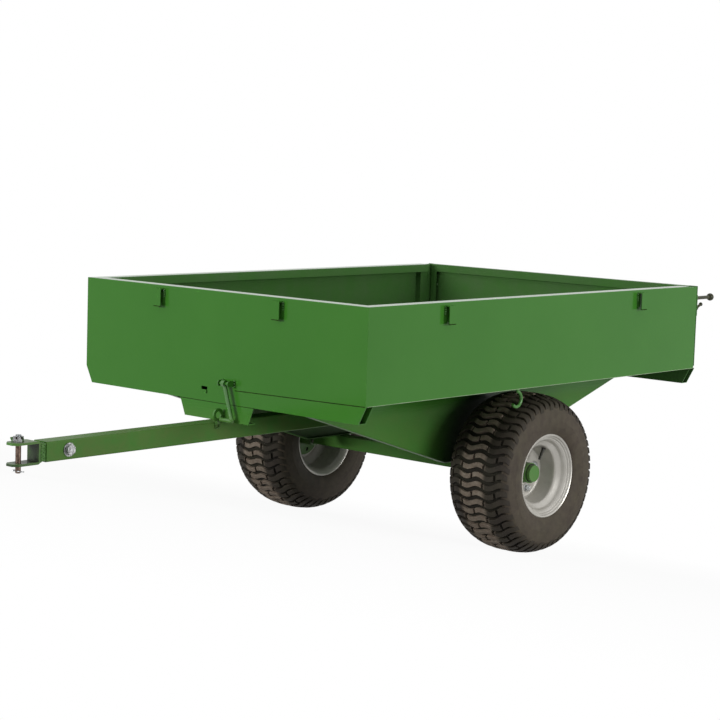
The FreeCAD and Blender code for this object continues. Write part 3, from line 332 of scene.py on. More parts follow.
def powder_coat(name, gloss, coat, road, hollow_shade=HOLLOW_SHADE):
    """Green powder coat with that gloss, clear coat, road dust, and painted shade in corners and hollows."""
    material, tree, where = new_material(name)
    low, inward = hanging_low(tree, where), facing_heart(tree, where)
    facing = add_node(tree, "ShaderNodeMapRange", {"Value": inward, "From Max": 0.5})
    load_dust, road_dust = (
        add_node(tree, "ShaderNodeMath", {0: place, 1: cloud}, operation="MULTIPLY")
        for place, cloud in ((facing, clouded(tree, where, 90.0, 0.16, 0.3)),
                             (low, clouded(tree, where, 45.0, 0.4 * road, 1.6 * road))))
    most = outside(tree, where, inward)
    # The last two coats are painted shade: in corners, and in deep hollows.
    shade = layered(tree, "#3a7626",
                    (clouded(tree, where, 400.0), "#3e7b29"),
                    (clouded(tree, where, 60.0, 0.0, 0.02, 6.0), "#6f8a5c"),
                    (load_dust, "#736a6c"), (road_dust, "#75593f"),
                    (crevice_shade(tree, *CORNER_SHADE, most), "#16240f"),
                    (crevice_shade(tree, *hollow_shade, most), "#0c120a"))
    rough = add_node(tree, "ShaderNodeMix", {
        0: low, 2: clouded(tree, where, 120.0, 0.14, 0.18), 3: 0.5})
    end_material(tree, {
        "Base Color": shade, "Roughness": rough, "IOR": 1.5,
        "Specular IOR Level": gloss, "Coat Weight": coat, "Coat Roughness": 0.06,
        "Normal": bumped(tree, where, ((SHEET_WAVE_MM, 0.8, 0.4), (PEEL_MM, 0.02, 0.3)))})
    return material


# Small fittings catch a thicker coat, and the lever the thickest: theirs has a clear
# coat on top. The drawbar is the dustiest. The V plates get painted shade, darker
# towards the floor that overhangs them, and the clevis painted shade inside its jaw.
green_coat = powder_coat("gloss_green_powder_coat", 0.2, 0.0, 0.08)
green_fittings = powder_coat("thick_green_powder_coat", 0.35, 0.15, 0.1)
lever_coat = powder_coat("wet_look_green_powder_coat", 0.5, 0.6, 0.1)
bar_coat = powder_coat("dusty_green_powder_coat", 0.2, 0.0, 0.17)
plate_coat = powder_coat("shaded_green_powder_coat", 0.2, 0.0, 0.08, (250.0, 0.05, 0.85))
clevis_coat = powder_coat("jaw_shaded_green_powder_coat", 0.35, 0.15, 0.15, (60.0, 0.45, 0.95))

# %% Coat for painted shade lines
# A dark matt coat for thin lines of painted shade: in a crease, a seam and under the tie hooks.
shade_line, tree, where = new_material("painted_shade_line")
end_material(tree, {
    "Base Color": layered(tree, "#1a2b12", (clouded(tree, where, 20.0), "#33451f")),
    "IOR": 1.5, "Specular IOR Level": 0.0, "Roughness": 0.9})
print("green and dirt:", len(bpy.data.materials) - 1, "materials")

# %% [markdown]
# ## Silver wheel lacquer
# Pressed steel rims get a silver lacquer: aluminium flake in clear resin. It is
# half a metal to the eye, so it is given part of a metal's reflection, a satin
# roughness and a very fine sparkle.

# %% Silver lacquer
FLAKE_MM = 2.0
silver, tree, where = new_material("silver_wheel_lacquer")
flake = layered(tree, "#bab7af", (clouded(tree, where, 40.0), "#c8c5be"),
                (clouded(tree, where, FLAKE_MM, 0.0, 0.25, 1.0), "#9d9a94"))
end_material(tree, {
    "Base Color": flake, "Metallic": 0.35, "IOR": 1.5,
    "Roughness": clouded(tree, where, 30.0, 0.28, 0.38),
    "Normal": bumped(tree, where, ((4.0, 0.03, 0.3),))})
print("flake:", FLAKE_MM, "mm wide")

# %% [markdown]
# ## Tyre rubber
# Tyres are moulded from rubber filled with carbon black, and it is matt once the
# mould wax is off. A little dust turns it brown, most of all on the tread.

# %% Rubber
SCUFF_FULL, SCUFF_END = 0.034, 0.046


def scuffed(tree, where, pale):
    """Share and colour of the dust in a band where the tread meets the ground."""
    parts = add_node(tree, "ShaderNodeSeparateXYZ", {0: where}).outputs
    side = add_node(tree, "ShaderNodeMath", {0: parts["Y"]}, operation="ABSOLUTE")
    off = add_node(tree, "ShaderNodeMath", {0: side, 1: WHEEL_Y * MM}, operation="SUBTRACT")
    away = add_node(tree, "ShaderNodeMath", {0: off}, operation="ABSOLUTE")
    band = add_node(tree, "ShaderNodeMapRange", {
        "Value": away, "From Min": SCUFF_END, "From Max": SCUFF_FULL})
    dust = add_node(tree, "ShaderNodeMath", {
        0: band, 1: clouded(tree, where, 12.0, 0.65, 1.0)}, operation="MULTIPLY")
    return dust, layered(tree, pale, (clouded(tree, where, 14.0, 0.0, 0.45), "#5a3f30"))


def rubber(name, dark, dust, most, rough, pale=None):
    """Moulded rubber with dust in clouds, and a pale scuffed band where pale is given."""
    material, tree, where = new_material(name)
    coats = [(clouded(tree, where, 25.0, 0.0, most, 6.0), dust),
             (clouded(tree, where, 90.0, 0.0, 0.22, 2.0), "#4a4a34")]
    if pale:
        coats.append(scuffed(tree, where, pale))
    end_material(tree, {
        "Base Color": layered(tree, dark, *coats), "IOR": 1.52, "Roughness": rough,
        "Specular IOR Level": 0.2,
        "Normal": bumped(tree, where, ((1.5, 0.15, 0.4), (9.0, 0.3, 0.3)))})
    return material


tyre_side = rubber("moulded_tyre_rubber", "#3b322c", "#50483c", 0.9, 0.62)
tyre_blocks = rubber("scuffed_tread_rubber", "#28231f", "#3a332d", 0.8, 0.7, "#8b8073")
# The groove floors' darker rubber is painted shade in the grooves.
groove_shade_rubber = rubber("painted_groove_shade_rubber", "#14110f", "#201b17", 0.8, 0.8)
valve_rubber = rubber("black_valve_rubber", "#1c1b1a", "#2c2a29", 0.5, 0.45)
print("scuffed band:", round(2 * SCUFF_FULL / MM), "mm wide")

# %% [markdown]
# ## Bare and plated metal
# Bolts and the hitch pin's nut are zinc plated: pale, a little cloudy, with the
# crystals of the bath. At the hitch the plating has gone dull in patches. Shafts are
# drawn bar. The hitch pin is hot-rolled bar, oiled and brown with handling, and bare
# at its thread. All are true metals, so they keep the default IOR and the colour is
# that of the reflection.

# %% Metals
NUT_TOP = 410.0


def metal(name, pale, deep, rough, patch, fine, bare_from=None):
    """Patches and fine waves in mm; from a level height of bare_from on, bare steel."""
    material, tree, where = new_material(name)
    coats = [(clouded(tree, where, patch, detail=4.0), deep)]
    if bare_from:
        bare = add_node(tree, "ShaderNodeMapRange", {
            "Value": level_height(tree, where), "From Min": bare_from, "From Max": bare_from + 1})
        coats.append((bare, "#7f8384"))
    end_material(tree, {
        "Base Color": layered(tree, pale, *coats), "Metallic": 1.0,
        "Roughness": clouded(tree, where, fine, rough - 0.08, rough + 0.08),
        "Normal": bumped(tree, where, ((fine, 0.05, 0.4),))})
    return material


zinc = metal("bright_zinc_plating", "#d2d4d4", "#a9adb0", 0.30, 5.0, 2.0)
worn_zinc = metal("weathered_zinc_plating", "#d0d2d2", "#4c4d4c", 0.30, 5.0, 2.0)
drawn_steel = metal("drawn_steel_bar", "#b4b0aa", "#8b8781", 0.38, 14.0, 1.5)
brown_steel = metal("oiled_hot_rolled_steel", "#4a3b33", "#7d6a5e", 0.34, 8.0, 2.5, NUT_TOP)
print("materials so far:", len(bpy.data.materials))

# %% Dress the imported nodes
FINISH = {"green_paint": green_coat, "rim_paint": silver, "tyre_rubber": tyre_side,
          "zinc_plate": zinc, "bare_steel": drawn_steel, "dark_steel": brown_steel}
FITTINGS = ("rope", "lug", "hinge", "neck", "eye", "hub", "collar", "bush")
SPECIAL = (("drawbar_tube", bar_coat), ("v_plate", plate_coat), ("clevis", clevis_coat),
           ("lever", lever_coat), ("pin_nut", worn_zinc), ("hitch_bolt", worn_zinc))
rows = frame["record"]["subparts"]
for row in rows:
    mesh = frame["nodes"][row["node"]].data
    mesh.materials.clear()
    finish = FINISH[row["material_slot"]]
    if finish is green_coat and any(word in row["node"] for word in FITTINGS):
        finish = green_fittings
    for word, special in SPECIAL:
        if word in row["node"]:
            finish = special
    mesh.materials.append(finish)
print("dressed", len(rows), "of", len(frame["nodes"]), "nodes")

# %% [markdown]
# ## Helpers for pieces
# A finished piece is a plain mesh with its place in its vertices, so its object stays
# at the origin. It rides on one body of the model and takes its paint or metal as a material.

# %% Piece helpers
def at(x, y, z):
    """A point in the level frame, in mm, as a point in the model."""
    return LEVEL @ Vector((x, y, z))


def add_piece(name, mesh, material, body, slot="green_paint", *stands_for):
    """Puts a finished mesh in the scene and fastens it to its body."""
    mesh.name = name
    if not mesh.materials:
        mesh.materials.append(material)
    piece = new_object(name, mesh)
    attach(piece, body)
    if stands_for:
        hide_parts(*stands_for)
    print(name, "on", body, len(mesh.polygons), "faces")


def to_mesh(bm, sharp=35):
    """A bmesh as a mesh, faces outward, smooth but for edges over that angle."""
    bmesh.ops.remove_doubles(bm, verts=bm.verts, dist=1e-6)
    bmesh.ops.recalc_face_normals(bm, faces=bm.faces)
    mesh = bpy.data.meshes.new("piece")
    bm.to_mesh(mesh)
    bm.free()
    mesh.shade_smooth()
    mesh.set_sharp_from_angle(angle=radians(sharp))
    return mesh


def skinned(bm, rings, closed=False):
    """Joins rings of points, each to the next, round to the first or capped at both ends."""
    rings = [[bm.verts.new(point) for point in ring] for ring in rings]
    for near, far in zip(rings, rings[1:] + rings[:closed]):
        for i in range(len(near)):
            k = (i + 1) % len(near)
            bm.faces.new((near[i], near[k], far[k], far[i]))
    if not closed:
        bm.faces.new(rings[0][::-1])
        bm.faces.new(rings[-1])


def spun(bm, section, steps, place):
    """A closed ring from a closed section of (y, r) points in mm, turned about +Y."""
    turns = [tau * i / steps for i in range(steps)]
    skinned(bm, [[place(r * cos(a), y, r * sin(a)) for y, r in section] for a in turns],
            closed=True)


def hub_place(side):
    """Maps wheel coordinates, y outward from the wheel's middle, to the model."""
    return lambda x, y, z: at(x, side * (WHEEL_Y + y), AXLE_HEIGHT + z)


SIDES = (("left", 1), ("right", -1))
print("left hub at", [round(c, 3) for c in hub_place(1)(0, 0, 0)])

# %% [markdown]
# ## Tyres
# A turf tyre has low blocks in S-shaped rows that join over the shoulder and fade
# into the side wall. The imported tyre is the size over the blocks, so here the
# carcass, one outline spun round, lies a block's height lower, and a repeated set of
# blocks brings it back up.

# %% Tyre section
CROWN, TREAD_HALF, TYRE_HALF, SHOULDER_DROP = 228.6, 91.0, 103.5, 20.0
BLOCK_HIGH, LUG_END, LUG_FADE = 7.5, 118.0, 26.0


def smooth_line(points, steps):
    """A Catmull-Rom curve through the points, steps pieces between each pair."""
    line = []
    for i in range(len(points) - 1):
        p = [Vector(points[max(0, min(len(points) - 1, i + k))]) for k in (-1, 0, 1, 2)]
        for j in range(steps):
            t = j / steps
            line.append(0.5 * ((2 * p[1]) + (p[2] - p[0]) * t
                               + (2 * p[0] - 5 * p[1] + 4 * p[2] - p[3]) * t * t
                               + (3 * p[1] - p[0] - 3 * p[2] + p[3]) * t ** 3))
    return line + [Vector(points[-1])]


crown_points = [(TREAD_HALF * t, CROWN - SHOULDER_DROP * t ** 3)
                for t in (0, 0.2, 0.4, 0.55, 0.7, 0.8, 0.9, 1)]
wall_points = [(97.6, 200.5), (101.6, 183), (TYRE_HALF, 159), (102.2, 143), (98.4, 129),
               (93.4, 119)]
outline = smooth_line(crown_points + wall_points, 5)
reach = [0.0]
for near, far in zip(outline, outline[1:]):
    reach.append(reach[-1] + (far - near).length)
print("half section, crown to rim:", round(reach[-1]), "mm")


def on_tyre(s, sink):
    """(y, r) at distance s along the section from the crown, sunk below the surface."""
    side = -1 if s < 0 else 1
    s = abs(s)
    k = max(i for i in range(len(reach) - 1) if reach[i] <= s)
    along = (outline[k + 1] - outline[k]).normalized()
    point = outline[k] + along * (s - reach[k])
    return side * (point.x + sink * along.y), point.y - sink * along.x


def groove(s):
    """How deep the tread's grooves are there: full on the crown, none past the lugs."""
    return BLOCK_HIGH * min(1.0, max(0.0, (LUG_END - abs(s)) / LUG_FADE))

# %% Carcass: the outer line from bead to bead, then back along the inside
WALL, STATION, RING_WIDE, GROOVED_HALF = 7.0, 3.0, 1.6, 86.0
WALL_RINGS = ((148.0, 0.9), (196.0, 0.7), (202.0, 0.7))
stations = [0.01 - reach[-1]]
while stations[-1] + STATION < reach[-1]:
    stations.append(stations[-1] + STATION)
outer = []
for s in stations:
    rise = sum(high * exp(-((abs(s) - ring) / RING_WIDE) ** 2) for ring, high in WALL_RINGS)
    outer.append(on_tyre(s, groove(s) - rise))
inner = [on_tyre(s, groove(s) + WALL) for s in stations[::4]]
foot = [(88.0, 118), (82, 110.5), (74, 104), (66, 101.5), (58, 108)]
carcass = outer + foot + inner[::-1] + [(-y, r) for y, r in foot[::-1]]
for hand, side in SIDES:
    bm = bmesh.new()
    spun(bm, carcass, 120, hub_place(side))
    mesh = to_mesh(bm, 50)
    mesh.materials.append(tyre_side)
    mesh.materials.append(groove_shade_rubber)
    # Faces in the grooved band are the groove floors, and they take the darker rubber: painted shade.
    for face in mesh.polygons:
        if abs(face.center.y / MM - side * WHEEL_Y) < GROOVED_HALF:
            face.material_index = 1
    add_piece(hand + "_tyre_carcass", mesh, tyre_side,
              hand + "_wheel", "tyre_rubber", hand + "_tyre")

# %% [markdown]
# ## Tread blocks
# Two rows make one repeat. The first has a wide S block in the middle and a long
# lug each side. The second is cut in the middle, so it has two blocks and two short
# lugs. Both follow the same wave. Geometry Nodes turn that pair of rows round the
# axle 27 times.

# %% One pair of rows
ROWS = 54
ROW_STEP = tau / ROWS
BLOCK_WIDE, CUT, SHORT_LUG_END = 74.0, 7.0, 112.0
PIECE_LONG = 7.5
SPREAD_FROM, SPREAD_OVER = 35, 65
BEND, BEND_MORE = 5.0, 2.2
HALF_LONG, HALF_MORE = 6.9, 2.6
EASED, LIP = 1.2, 1.1


def block(bm, row_angle, start, end):
    """A block or lug from start to end along the section, both in mm from the crown."""
    steps = max(5, round((end - start) / PIECE_LONG))
    columns = []
    for j in range(steps + 1):
        s = start + (end - start) * j / steps
        outward = min(1.0, max(0.0, (abs(s) - SPREAD_FROM) / SPREAD_OVER))
        swing = (BEND + BEND_MORE * outward) * sin(tau * s / BLOCK_WIDE)
        half = HALF_LONG + HALF_MORE * outward
        low, lip = groove(s) + 1.0, min(LIP, groove(s) * 0.6)
        top = 0.0 if 0 < j < steps else lip * 0.5
        column = []
        for across, sink in ((-half, low), (-half, lip), (EASED - half, top),
                             (half - EASED, top), (half, lip), (half, low)):
            y, r = on_tyre(s, sink)
            angle = row_angle + (swing + across) / CROWN
            x, z = r * cos(angle), r * sin(angle)
            column.append(bm.verts.new((x * MM, y * MM, z * MM)))
        columns.append(column)
    for near, far in zip(columns, columns[1:]):
        for k in range(5):
            bm.faces.new((near[k], far[k], far[k + 1], near[k + 1]))
    bm.faces.new(columns[0])
    bm.faces.new(columns[-1][::-1])


gap, wide = CUT / 2, BLOCK_WIDE / 2
FIRST = ((gap - wide, wide - gap), (wide + gap, LUG_END), (-LUG_END, -wide - gap))
SECOND = ((gap, BLOCK_WIDE - gap), (gap - BLOCK_WIDE, -gap), (BLOCK_WIDE + gap, SHORT_LUG_END),
          (-SHORT_LUG_END, -BLOCK_WIDE - gap))
bm = bmesh.new()
for row_angle, row in ((0.0, FIRST), (ROW_STEP, SECOND)):
    for start, end in row:
        block(bm, row_angle, start, end)
row_pair = to_mesh(bm, 30)
print("one pair of rows:", len(row_pair.polygons), "faces")

# %% Geometry Nodes helpers
def grown(mesh, tree, **inputs):
    """Runs a Geometry Nodes tree on a mesh and returns the plain mesh it makes."""
    seed = new_object("seed", mesh)
    modifier = seed.modifiers.new(tree.name, "NODES")
    modifier.node_group = tree
    for item in tree.interface.items_tree:
        if item.item_type == "SOCKET" and item.in_out == "INPUT" and item.name in inputs:
            modifier[item.identifier] = inputs[item.name]
    bpy.context.view_layer.update()
    evaluated = seed.evaluated_get(bpy.context.evaluated_depsgraph_get())
    result = bpy.data.meshes.new_from_object(evaluated)
    bpy.data.objects.remove(seed)
    return result


def new_tree(name, **kinds):
    """A Geometry Nodes tree with a mesh in, a mesh out and the named inputs."""
    tree = bpy.data.node_groups.new(name, "GeometryNodeTree")
    tree.interface.new_socket("Mesh", in_out="INPUT", socket_type="NodeSocketGeometry")
    for label, kind in kinds.items():
        tree.interface.new_socket(label, in_out="INPUT", socket_type="NodeSocket" + kind)
    tree.interface.new_socket("Mesh", in_out="OUTPUT", socket_type="NodeSocketGeometry")
    return tree, add_node(tree, "NodeGroupInput").outputs


def finish_tree(tree, geometry, material):
    """Realize Instances and Set Material at the end, as a plain mesh needs."""
    solid = add_node(tree, "GeometryNodeRealizeInstances", {"Geometry": geometry})
    smooth = add_node(tree, "GeometryNodeSetShadeSmooth", {"Geometry": solid})
    painted = add_node(tree, "GeometryNodeSetMaterial", {"Geometry": smooth, "Material": material})
    add_node(tree, "NodeGroupOutput", {0: painted})

# %% Turn the rows round the axle
FIRST_ROW = 0.04
tree, given = new_tree("turf_tread", Repeats="Int", Hub="Vector", Turn="Float", Rubber="Material")
spots = add_node(tree, "GeometryNodePoints", {"Count": given["Repeats"], "Radius": 0.001})
number = add_node(tree, "GeometryNodeInputIndex")
step = add_node(tree, "ShaderNodeMath", {0: tau, 1: given["Repeats"]}, operation="DIVIDE")
swing = add_node(tree, "ShaderNodeMath", {
    0: number, 1: step, 2: given["Turn"]}, operation="MULTIPLY_ADD")
about_y = add_node(tree, "ShaderNodeCombineXYZ", {"Y": swing})
rows = add_node(tree, "GeometryNodeInstanceOnPoints", {
    "Points": spots, "Instance": given["Mesh"], "Rotation": about_y})
moved = add_node(tree, "GeometryNodeTransform", {"Geometry": rows, "Translation": given["Hub"]})
finish_tree(tree, moved, given["Rubber"])
for hand, side in SIDES:
    mesh = grown(row_pair, tree, Repeats=ROWS // 2, Turn=FIRST_ROW,
                 Hub=at(0, side * WHEEL_Y, AXLE_HEIGHT), Rubber=tyre_blocks)
    mesh.set_sharp_from_angle(angle=radians(30))
    add_piece(hand + "_tyre_tread", mesh, tyre_blocks, hand + "_wheel", "tyre_rubber")

# %% [markdown]
# ## Rims
# A rim this small is one pressed barrel with a dished disc welded inside. What the
# eye sees is the rolled lip, the bead seat behind it, a steep step and then a deep
# bowl. The visible side is a line, the tyre side lies the sheet's thickness behind
# it, and that section is spun too.

# %% Rim barrel and disc
DISC_OUT = 9.3
barrel = [
    (-88, 118.6), (-91.5, 119.6), (-93.8, 117.8), (-92.6, 114), (-86, 107), (-80, 101.4),
    (-76, 99.2), (-30, 97.2), (-14, 96.0), (-9, 92), (-1, 79), (3, 75.2), (DISC_OUT + 1.6, 74.2),
    (DISC_OUT + 6, 74.6), (30, 77.2), (52, 80.4), (57, 81.4), (60, 83.0), (62.5, 86.5),
    (67.5, 94.2), (69.5, 96.4), (72, 97.6), (77.2, 99.6), (79.2, 101.0), (81.5, 103.3),
    (83.0, 105.0), (83.3, 106.5), (84.6, 107.6), (86.3, 108.2), (87.6, 109.4), (88.0, 110.9),
    (89.2, 111.9), (90.9, 112.4), (92.8, 114.0), (94, 117), (92.4, 119.2), (89.6, 119)]
# The wheel disc: a raised ring round the hub and a weld fillet at its rim.
disc = [(DISC_OUT + rise, r) for rise, r in (
    (0, 29.4), (0.9, 31), (0.9, 36), (0, 38), (0, 62), (0.4, 69), (1.4, 72), (3.6, 73.6),
    (3.6, 75.5), (-4, 75.5), (-4, 29.4))]
SHEET = 2.6


def thickened(line, thick):
    """The line, then its offset on the tyre's side, as one closed section."""
    back = []
    for i, (y, r) in enumerate(line):
        (y0, r0), (y1, r1) = line[max(0, i - 1)], line[min(len(line) - 1, i + 1)]
        along = Vector((y1 - y0, r1 - r0)).normalized()
        back.append((y - along.y * thick, r + along.x * thick))
    return line + back[::-1]


for hand, side in SIDES:
    bm = bmesh.new()
    spun(bm, thickened(barrel, SHEET), 144, hub_place(side))
    spun(bm, disc, 96, hub_place(side))
    add_piece(hand + "_rim_pressing", to_mesh(bm, 28), silver, hand + "_wheel", "rim_paint",
              hand + "_rim")

# %% [markdown]
# ## Wheel bolts, shade ring and valve
# Four bolts with washers hold the disc to the hub. A dark ring between the hub's
# barrel and its dust cap is painted shade, the shade in the gap between them. The valve
# is a snap-in rubber stem that points from the bowl's wall towards the hub. Geometry
# Nodes repeat the bolts.

# %% One bolt head
BOLTS, BOLT_CIRCLE, BOLT_TURN = 4, 50.0, 72.0


def lathe(bm, place, stations, steps):
    """Skins rings of (radius, depth) in mm; place maps (u, v, depth) to the model."""
    turns = [tau * i / steps for i in range(steps)]
    skinned(bm, [[place(radius * cos(a), radius * sin(a), depth) for a in turns]
                 for radius, depth in stations])


def plain(u, v, depth):
    """A point on the bolt's own axes, in mm."""
    return Vector((u, v, depth)) * MM


bm = bmesh.new()
lathe(bm, plain, ((10.5, -0.5), (11.2, 0.2), (11.2, 1.6), (10.6, 2.0)), 24)
lathe(bm, plain, ((9.6, 1.8), (9.9, 2.4), (9.9, 7.2), (8.4, 8.6), (7.0, 8.8)), 6)
lathe(bm, plain, ((5.0, 8.0), (5.0, 11.5), (4.2, 12.2)), 12)
bolt_head = to_mesh(bm, 25)
print("bolt head:", len(bolt_head.polygons), "faces")

# %% Bolt circle
bolt_tree, given = new_tree("bolt_circle", Count="Int", Radius="Float", Turn="Float",
                            Plating="Material")
circle = add_node(bolt_tree, "GeometryNodeMeshCircle", {
    "Vertices": given["Count"], "Radius": given["Radius"]})
about_z = add_node(bolt_tree, "ShaderNodeCombineXYZ", {"Z": given["Turn"]})
turned = add_node(bolt_tree, "GeometryNodeTransform", {"Geometry": circle, "Rotation": about_z})
heads = add_node(bolt_tree, "GeometryNodeInstanceOnPoints", {
    "Points": turned, "Instance": given["Mesh"]})
finish_tree(bolt_tree, heads, given["Plating"])
print("bolt circle:", len(bolt_tree.nodes), "nodes")

# %% Bolts, shade rings and valves
VALVE_TURN, VALVE_DEPTH, VALVE_FOOT = 120.0, 46.0, 80.5
for hand, side in SIDES:
    body = hand + "_wheel"
    first = 180 - BOLT_TURN if side > 0 else BOLT_TURN
    mesh = grown(bolt_head, bolt_tree, Count=BOLTS, Radius=BOLT_CIRCLE * MM,
                 Turn=radians(first), Plating=zinc)
    lay = Matrix(((-side, 0, 0), (0, 0, side), (0, 1, 0))).to_4x4()
    centre = Matrix.Translation(at(0, side * (WHEEL_Y + DISC_OUT), AXLE_HEIGHT))
    mesh.transform(centre @ Matrix.Rotation(PITCH, 4, "Y") @ lay)
    mesh.set_sharp_from_angle(angle=radians(25))
    add_piece(hand + "_wheel_bolts", mesh, zinc, body, "zinc_plate")
    place = hub_place(side)
    # A dark ring in the gap at the dust cap: painted shade.
    bm = bmesh.new()
    spun(bm, [(35.2, 23.6), (36.4, 23.6), (36.4, 26.4), (35.8, 27.0), (35.2, 27.0)], 64, place)
    add_piece(hand + "_grease_ring", to_mesh(bm), valve_rubber, body, "tyre_rubber")
    a = radians(VALVE_TURN)
    inward = Vector((-cos(a), 0, -sin(a)))
    across = Vector((-sin(a), 0, cos(a)))
    foot = Vector((VALVE_FOOT * cos(a), VALVE_DEPTH, VALVE_FOOT * sin(a)))
    bm = bmesh.new()
    lathe(bm, lambda u, v, d: place(*(foot + across * u + Vector((0, v, 0)) + inward * d)),
          ((7.0, -2), (7.4, 1.0), (6.4, 2.4), (4.6, 3.6), (4.3, 12), (3.9, 22), (3.7, 25),
           (3.2, 25.5), (3.2, 27), (3.9, 27.4), (3.9, 34.6), (3.0, 36)), 18)
    add_piece(hand + "_valve", to_mesh(bm, 40), valve_rubber, body, "tyre_rubber")

# %% [markdown]
# ## Weld beads
# The fittings are tacked and seamed by hand, then painted over. A bead is a row of
# overlapping puddles, one for each pause of the torch. Each seam is only a line of
# points, and Geometry Nodes set a puddle every few millimetres along it, of slightly
# varied size, with a fixed seed.

# %% Weld tree
bm = bmesh.new()
bmesh.ops.create_uvsphere(bm, u_segments=8, v_segments=5, radius=1.0)
puddle = bpy.data.meshes.new("weld_puddle")
bm.to_mesh(puddle)
bm.free()
puddle_source = bpy.data.objects.new("weld_puddle", puddle)


def puddled(tree, given, spots, least, most, squeeze=1.0, **turned):
    """Ends a tree with a puddle on each spot, of a size that varies from least to most."""
    shape = add_node(tree, "GeometryNodeObjectInfo", {"Object": given["Puddle"]})
    chance = add_node(tree, "FunctionNodeRandomValue", {
        2: least, 3: most, "Seed": given["Seed"]}, data_type="FLOAT")
    bulk = add_node(tree, "ShaderNodeMath", {
        0: chance.outputs[1], 1: given["Size"]}, operation="MULTIPLY")
    short = add_node(tree, "ShaderNodeMath", {0: bulk, 1: squeeze}, operation="MULTIPLY")
    scale = add_node(tree, "ShaderNodeCombineXYZ", {"X": short, "Y": bulk, "Z": bulk})
    laid = add_node(tree, "GeometryNodeInstanceOnPoints", {
        "Points": spots, "Instance": shape.outputs["Geometry"], "Scale": scale, **turned})
    finish_tree(tree, laid, given["Paint"])


weld_tree, given = new_tree("weld_bead", Puddle="Object", Pitch="Float", Size="Float",
                            Seed="Int", Paint="Material")
path = add_node(weld_tree, "GeometryNodeMeshToCurve", {"Mesh": given["Mesh"]})
dotted = add_node(weld_tree, "GeometryNodeResampleCurve", {
    "Curve": path, "Length": given["Pitch"]}, mode="LENGTH")
along = add_node(weld_tree, "GeometryNodeInputTangent")
facing = add_node(weld_tree, "FunctionNodeAlignRotationToVector", {"Vector": along}, axis="X")
puddled(weld_tree, given, dotted, 0.82, 1.15, 0.8, Rotation=facing)
print("weld bead:", len(weld_tree.nodes), "nodes")

# %% Seams
weld_seed = 0


def weld(name, body, seams, pitch, size):
    """Beads along seams, each a list of level-frame points in mm."""
    global weld_seed
    weld_seed += 1
    points, edges = [], []
    for line in seams:
        edges += [(len(points) + i, len(points) + i + 1) for i in range(len(line) - 1)]
        points += [at(*p) for p in line]
    thread = bpy.data.meshes.new("seams")
    thread.from_pydata(points, edges, [])
    mesh = grown(thread, weld_tree, Puddle=puddle_source, Pitch=pitch * MM, Size=size * MM,
                 Seed=weld_seed, Paint=green_fittings)
    add_piece(name, mesh, green_fittings, body)


def seam(x, y, z, dx=0, dy=0, dz=0):
    """A straight seam from a point, dx, dy or dz long."""
    return [(x, y, z), (x + dx, y + dy, z + dz)]


def round_square(half, place):
    """A closed square of points round a tube; place maps (u, v)."""
    corners = [(-half, -half), (half, -half), (half, half), (-half, half), (-half, -half)]
    return [place(u, v) for u, v in corners]


# Where seams start. A bead's middle lies just outside or inside a sheet.
FRONT_X, REAR_X, HALF_W = 800.0, -715.0, 537.5
TOP_Z, BED_Z, APRON_Z = 742.0, 489.5, 442.0
FRONT_HOOKS, SIDE_HOOKS, HOOK_HALF = 227.0, 444.0, 13.5
TUB_MIDDLE, BAR_HALF = 42.5, 25.5
BEAD_OUT, BEAD_IN = 1.2, 3.2
print("tub:", FRONT_X - REAR_X, "by", 2 * HALF_W, "mm")

# %% Tacks on the tie hooks
TACK_Z, TACK_LONG = TOP_Z - 30, 18
HOOK_SIDES = (-HOOK_HALF - 1, HOOK_HALF + 1)
seams = [seam(FRONT_X + BEAD_OUT, hook + edge, TACK_Z, dz=TACK_LONG)
         for hook in (-FRONT_HOOKS, FRONT_HOOKS) for edge in HOOK_SIDES]
seams += [seam(TUB_MIDDLE + hook + edge, side * (HALF_W + BEAD_OUT), TACK_Z, dz=TACK_LONG)
          for side in (1, -1) for hook in (-SIDE_HOOKS, SIDE_HOOKS) for edge in HOOK_SIDES]
weld("tie_hook_welds", "tub", seams, 5.5, 3.4)

# %% Seams of the tub
PLATE_TOP, PLATE_BEAM, BEAM_LOW = 281.5, (281, 256), 249.5
STITCH, CORNER_STITCH = 45, 35
seams = []
for side in (1, -1):
    for start in range(-640, 681, 220):
        seams.append(seam(start, side * PLATE_TOP, BED_Z - 1, dx=STITCH))
        seams.append(seam(start, side * (HALF_W - 4), BED_Z + BEAD_IN, dx=STITCH))
    seams += [seam(-18, side * y, BEAM_LOW, dx=40) for y in PLATE_BEAM]
    for low in (500, 590, 680):
        seams.append(seam(FRONT_X - BEAD_IN, side * (HALF_W - BEAD_IN), low, dz=CORNER_STITCH))
        seams.append(seam(REAR_X + 28, side * (HALF_W - 22), low - 3, dz=CORNER_STITCH))
seams += [seam(FRONT_X - BEAD_IN, middle - 25, BED_Z + BEAD_IN, dy=50)
          for middle in range(-400, 401, 200)]
weld("tub_seam_welds", "tub", seams, 3.6, 2.3)

# %% Latch lugs, axle and rope hooks
LATCH_SIDE, LUG_HALF, ROPE_HOOK_X = 47.5, 20.5, 164.5
AXLE_END, AXLE_HALF = 365, 20
seams = [seam(FRONT_X + BEAD_OUT, LATCH_SIDE + side * (LUG_HALF + 1), BED_Z + 2.5, dz=15)
         for side in (1, -1)]
seams += [seam(ROPE_HOOK_X, side * (HALF_W - 4.5), BED_Z - 0.5, dx=9.5) for side in (1, -1)]
weld("lug_and_hook_welds", "tub", seams, 5.0, 3.4)
seams = [round_square(AXLE_HALF, lambda u, v: (u, side * AXLE_END, AXLE_HEIGHT + v))
         for side in (1, -1)]
weld("axle_end_welds", "tub", seams, 3.6, 2.4)

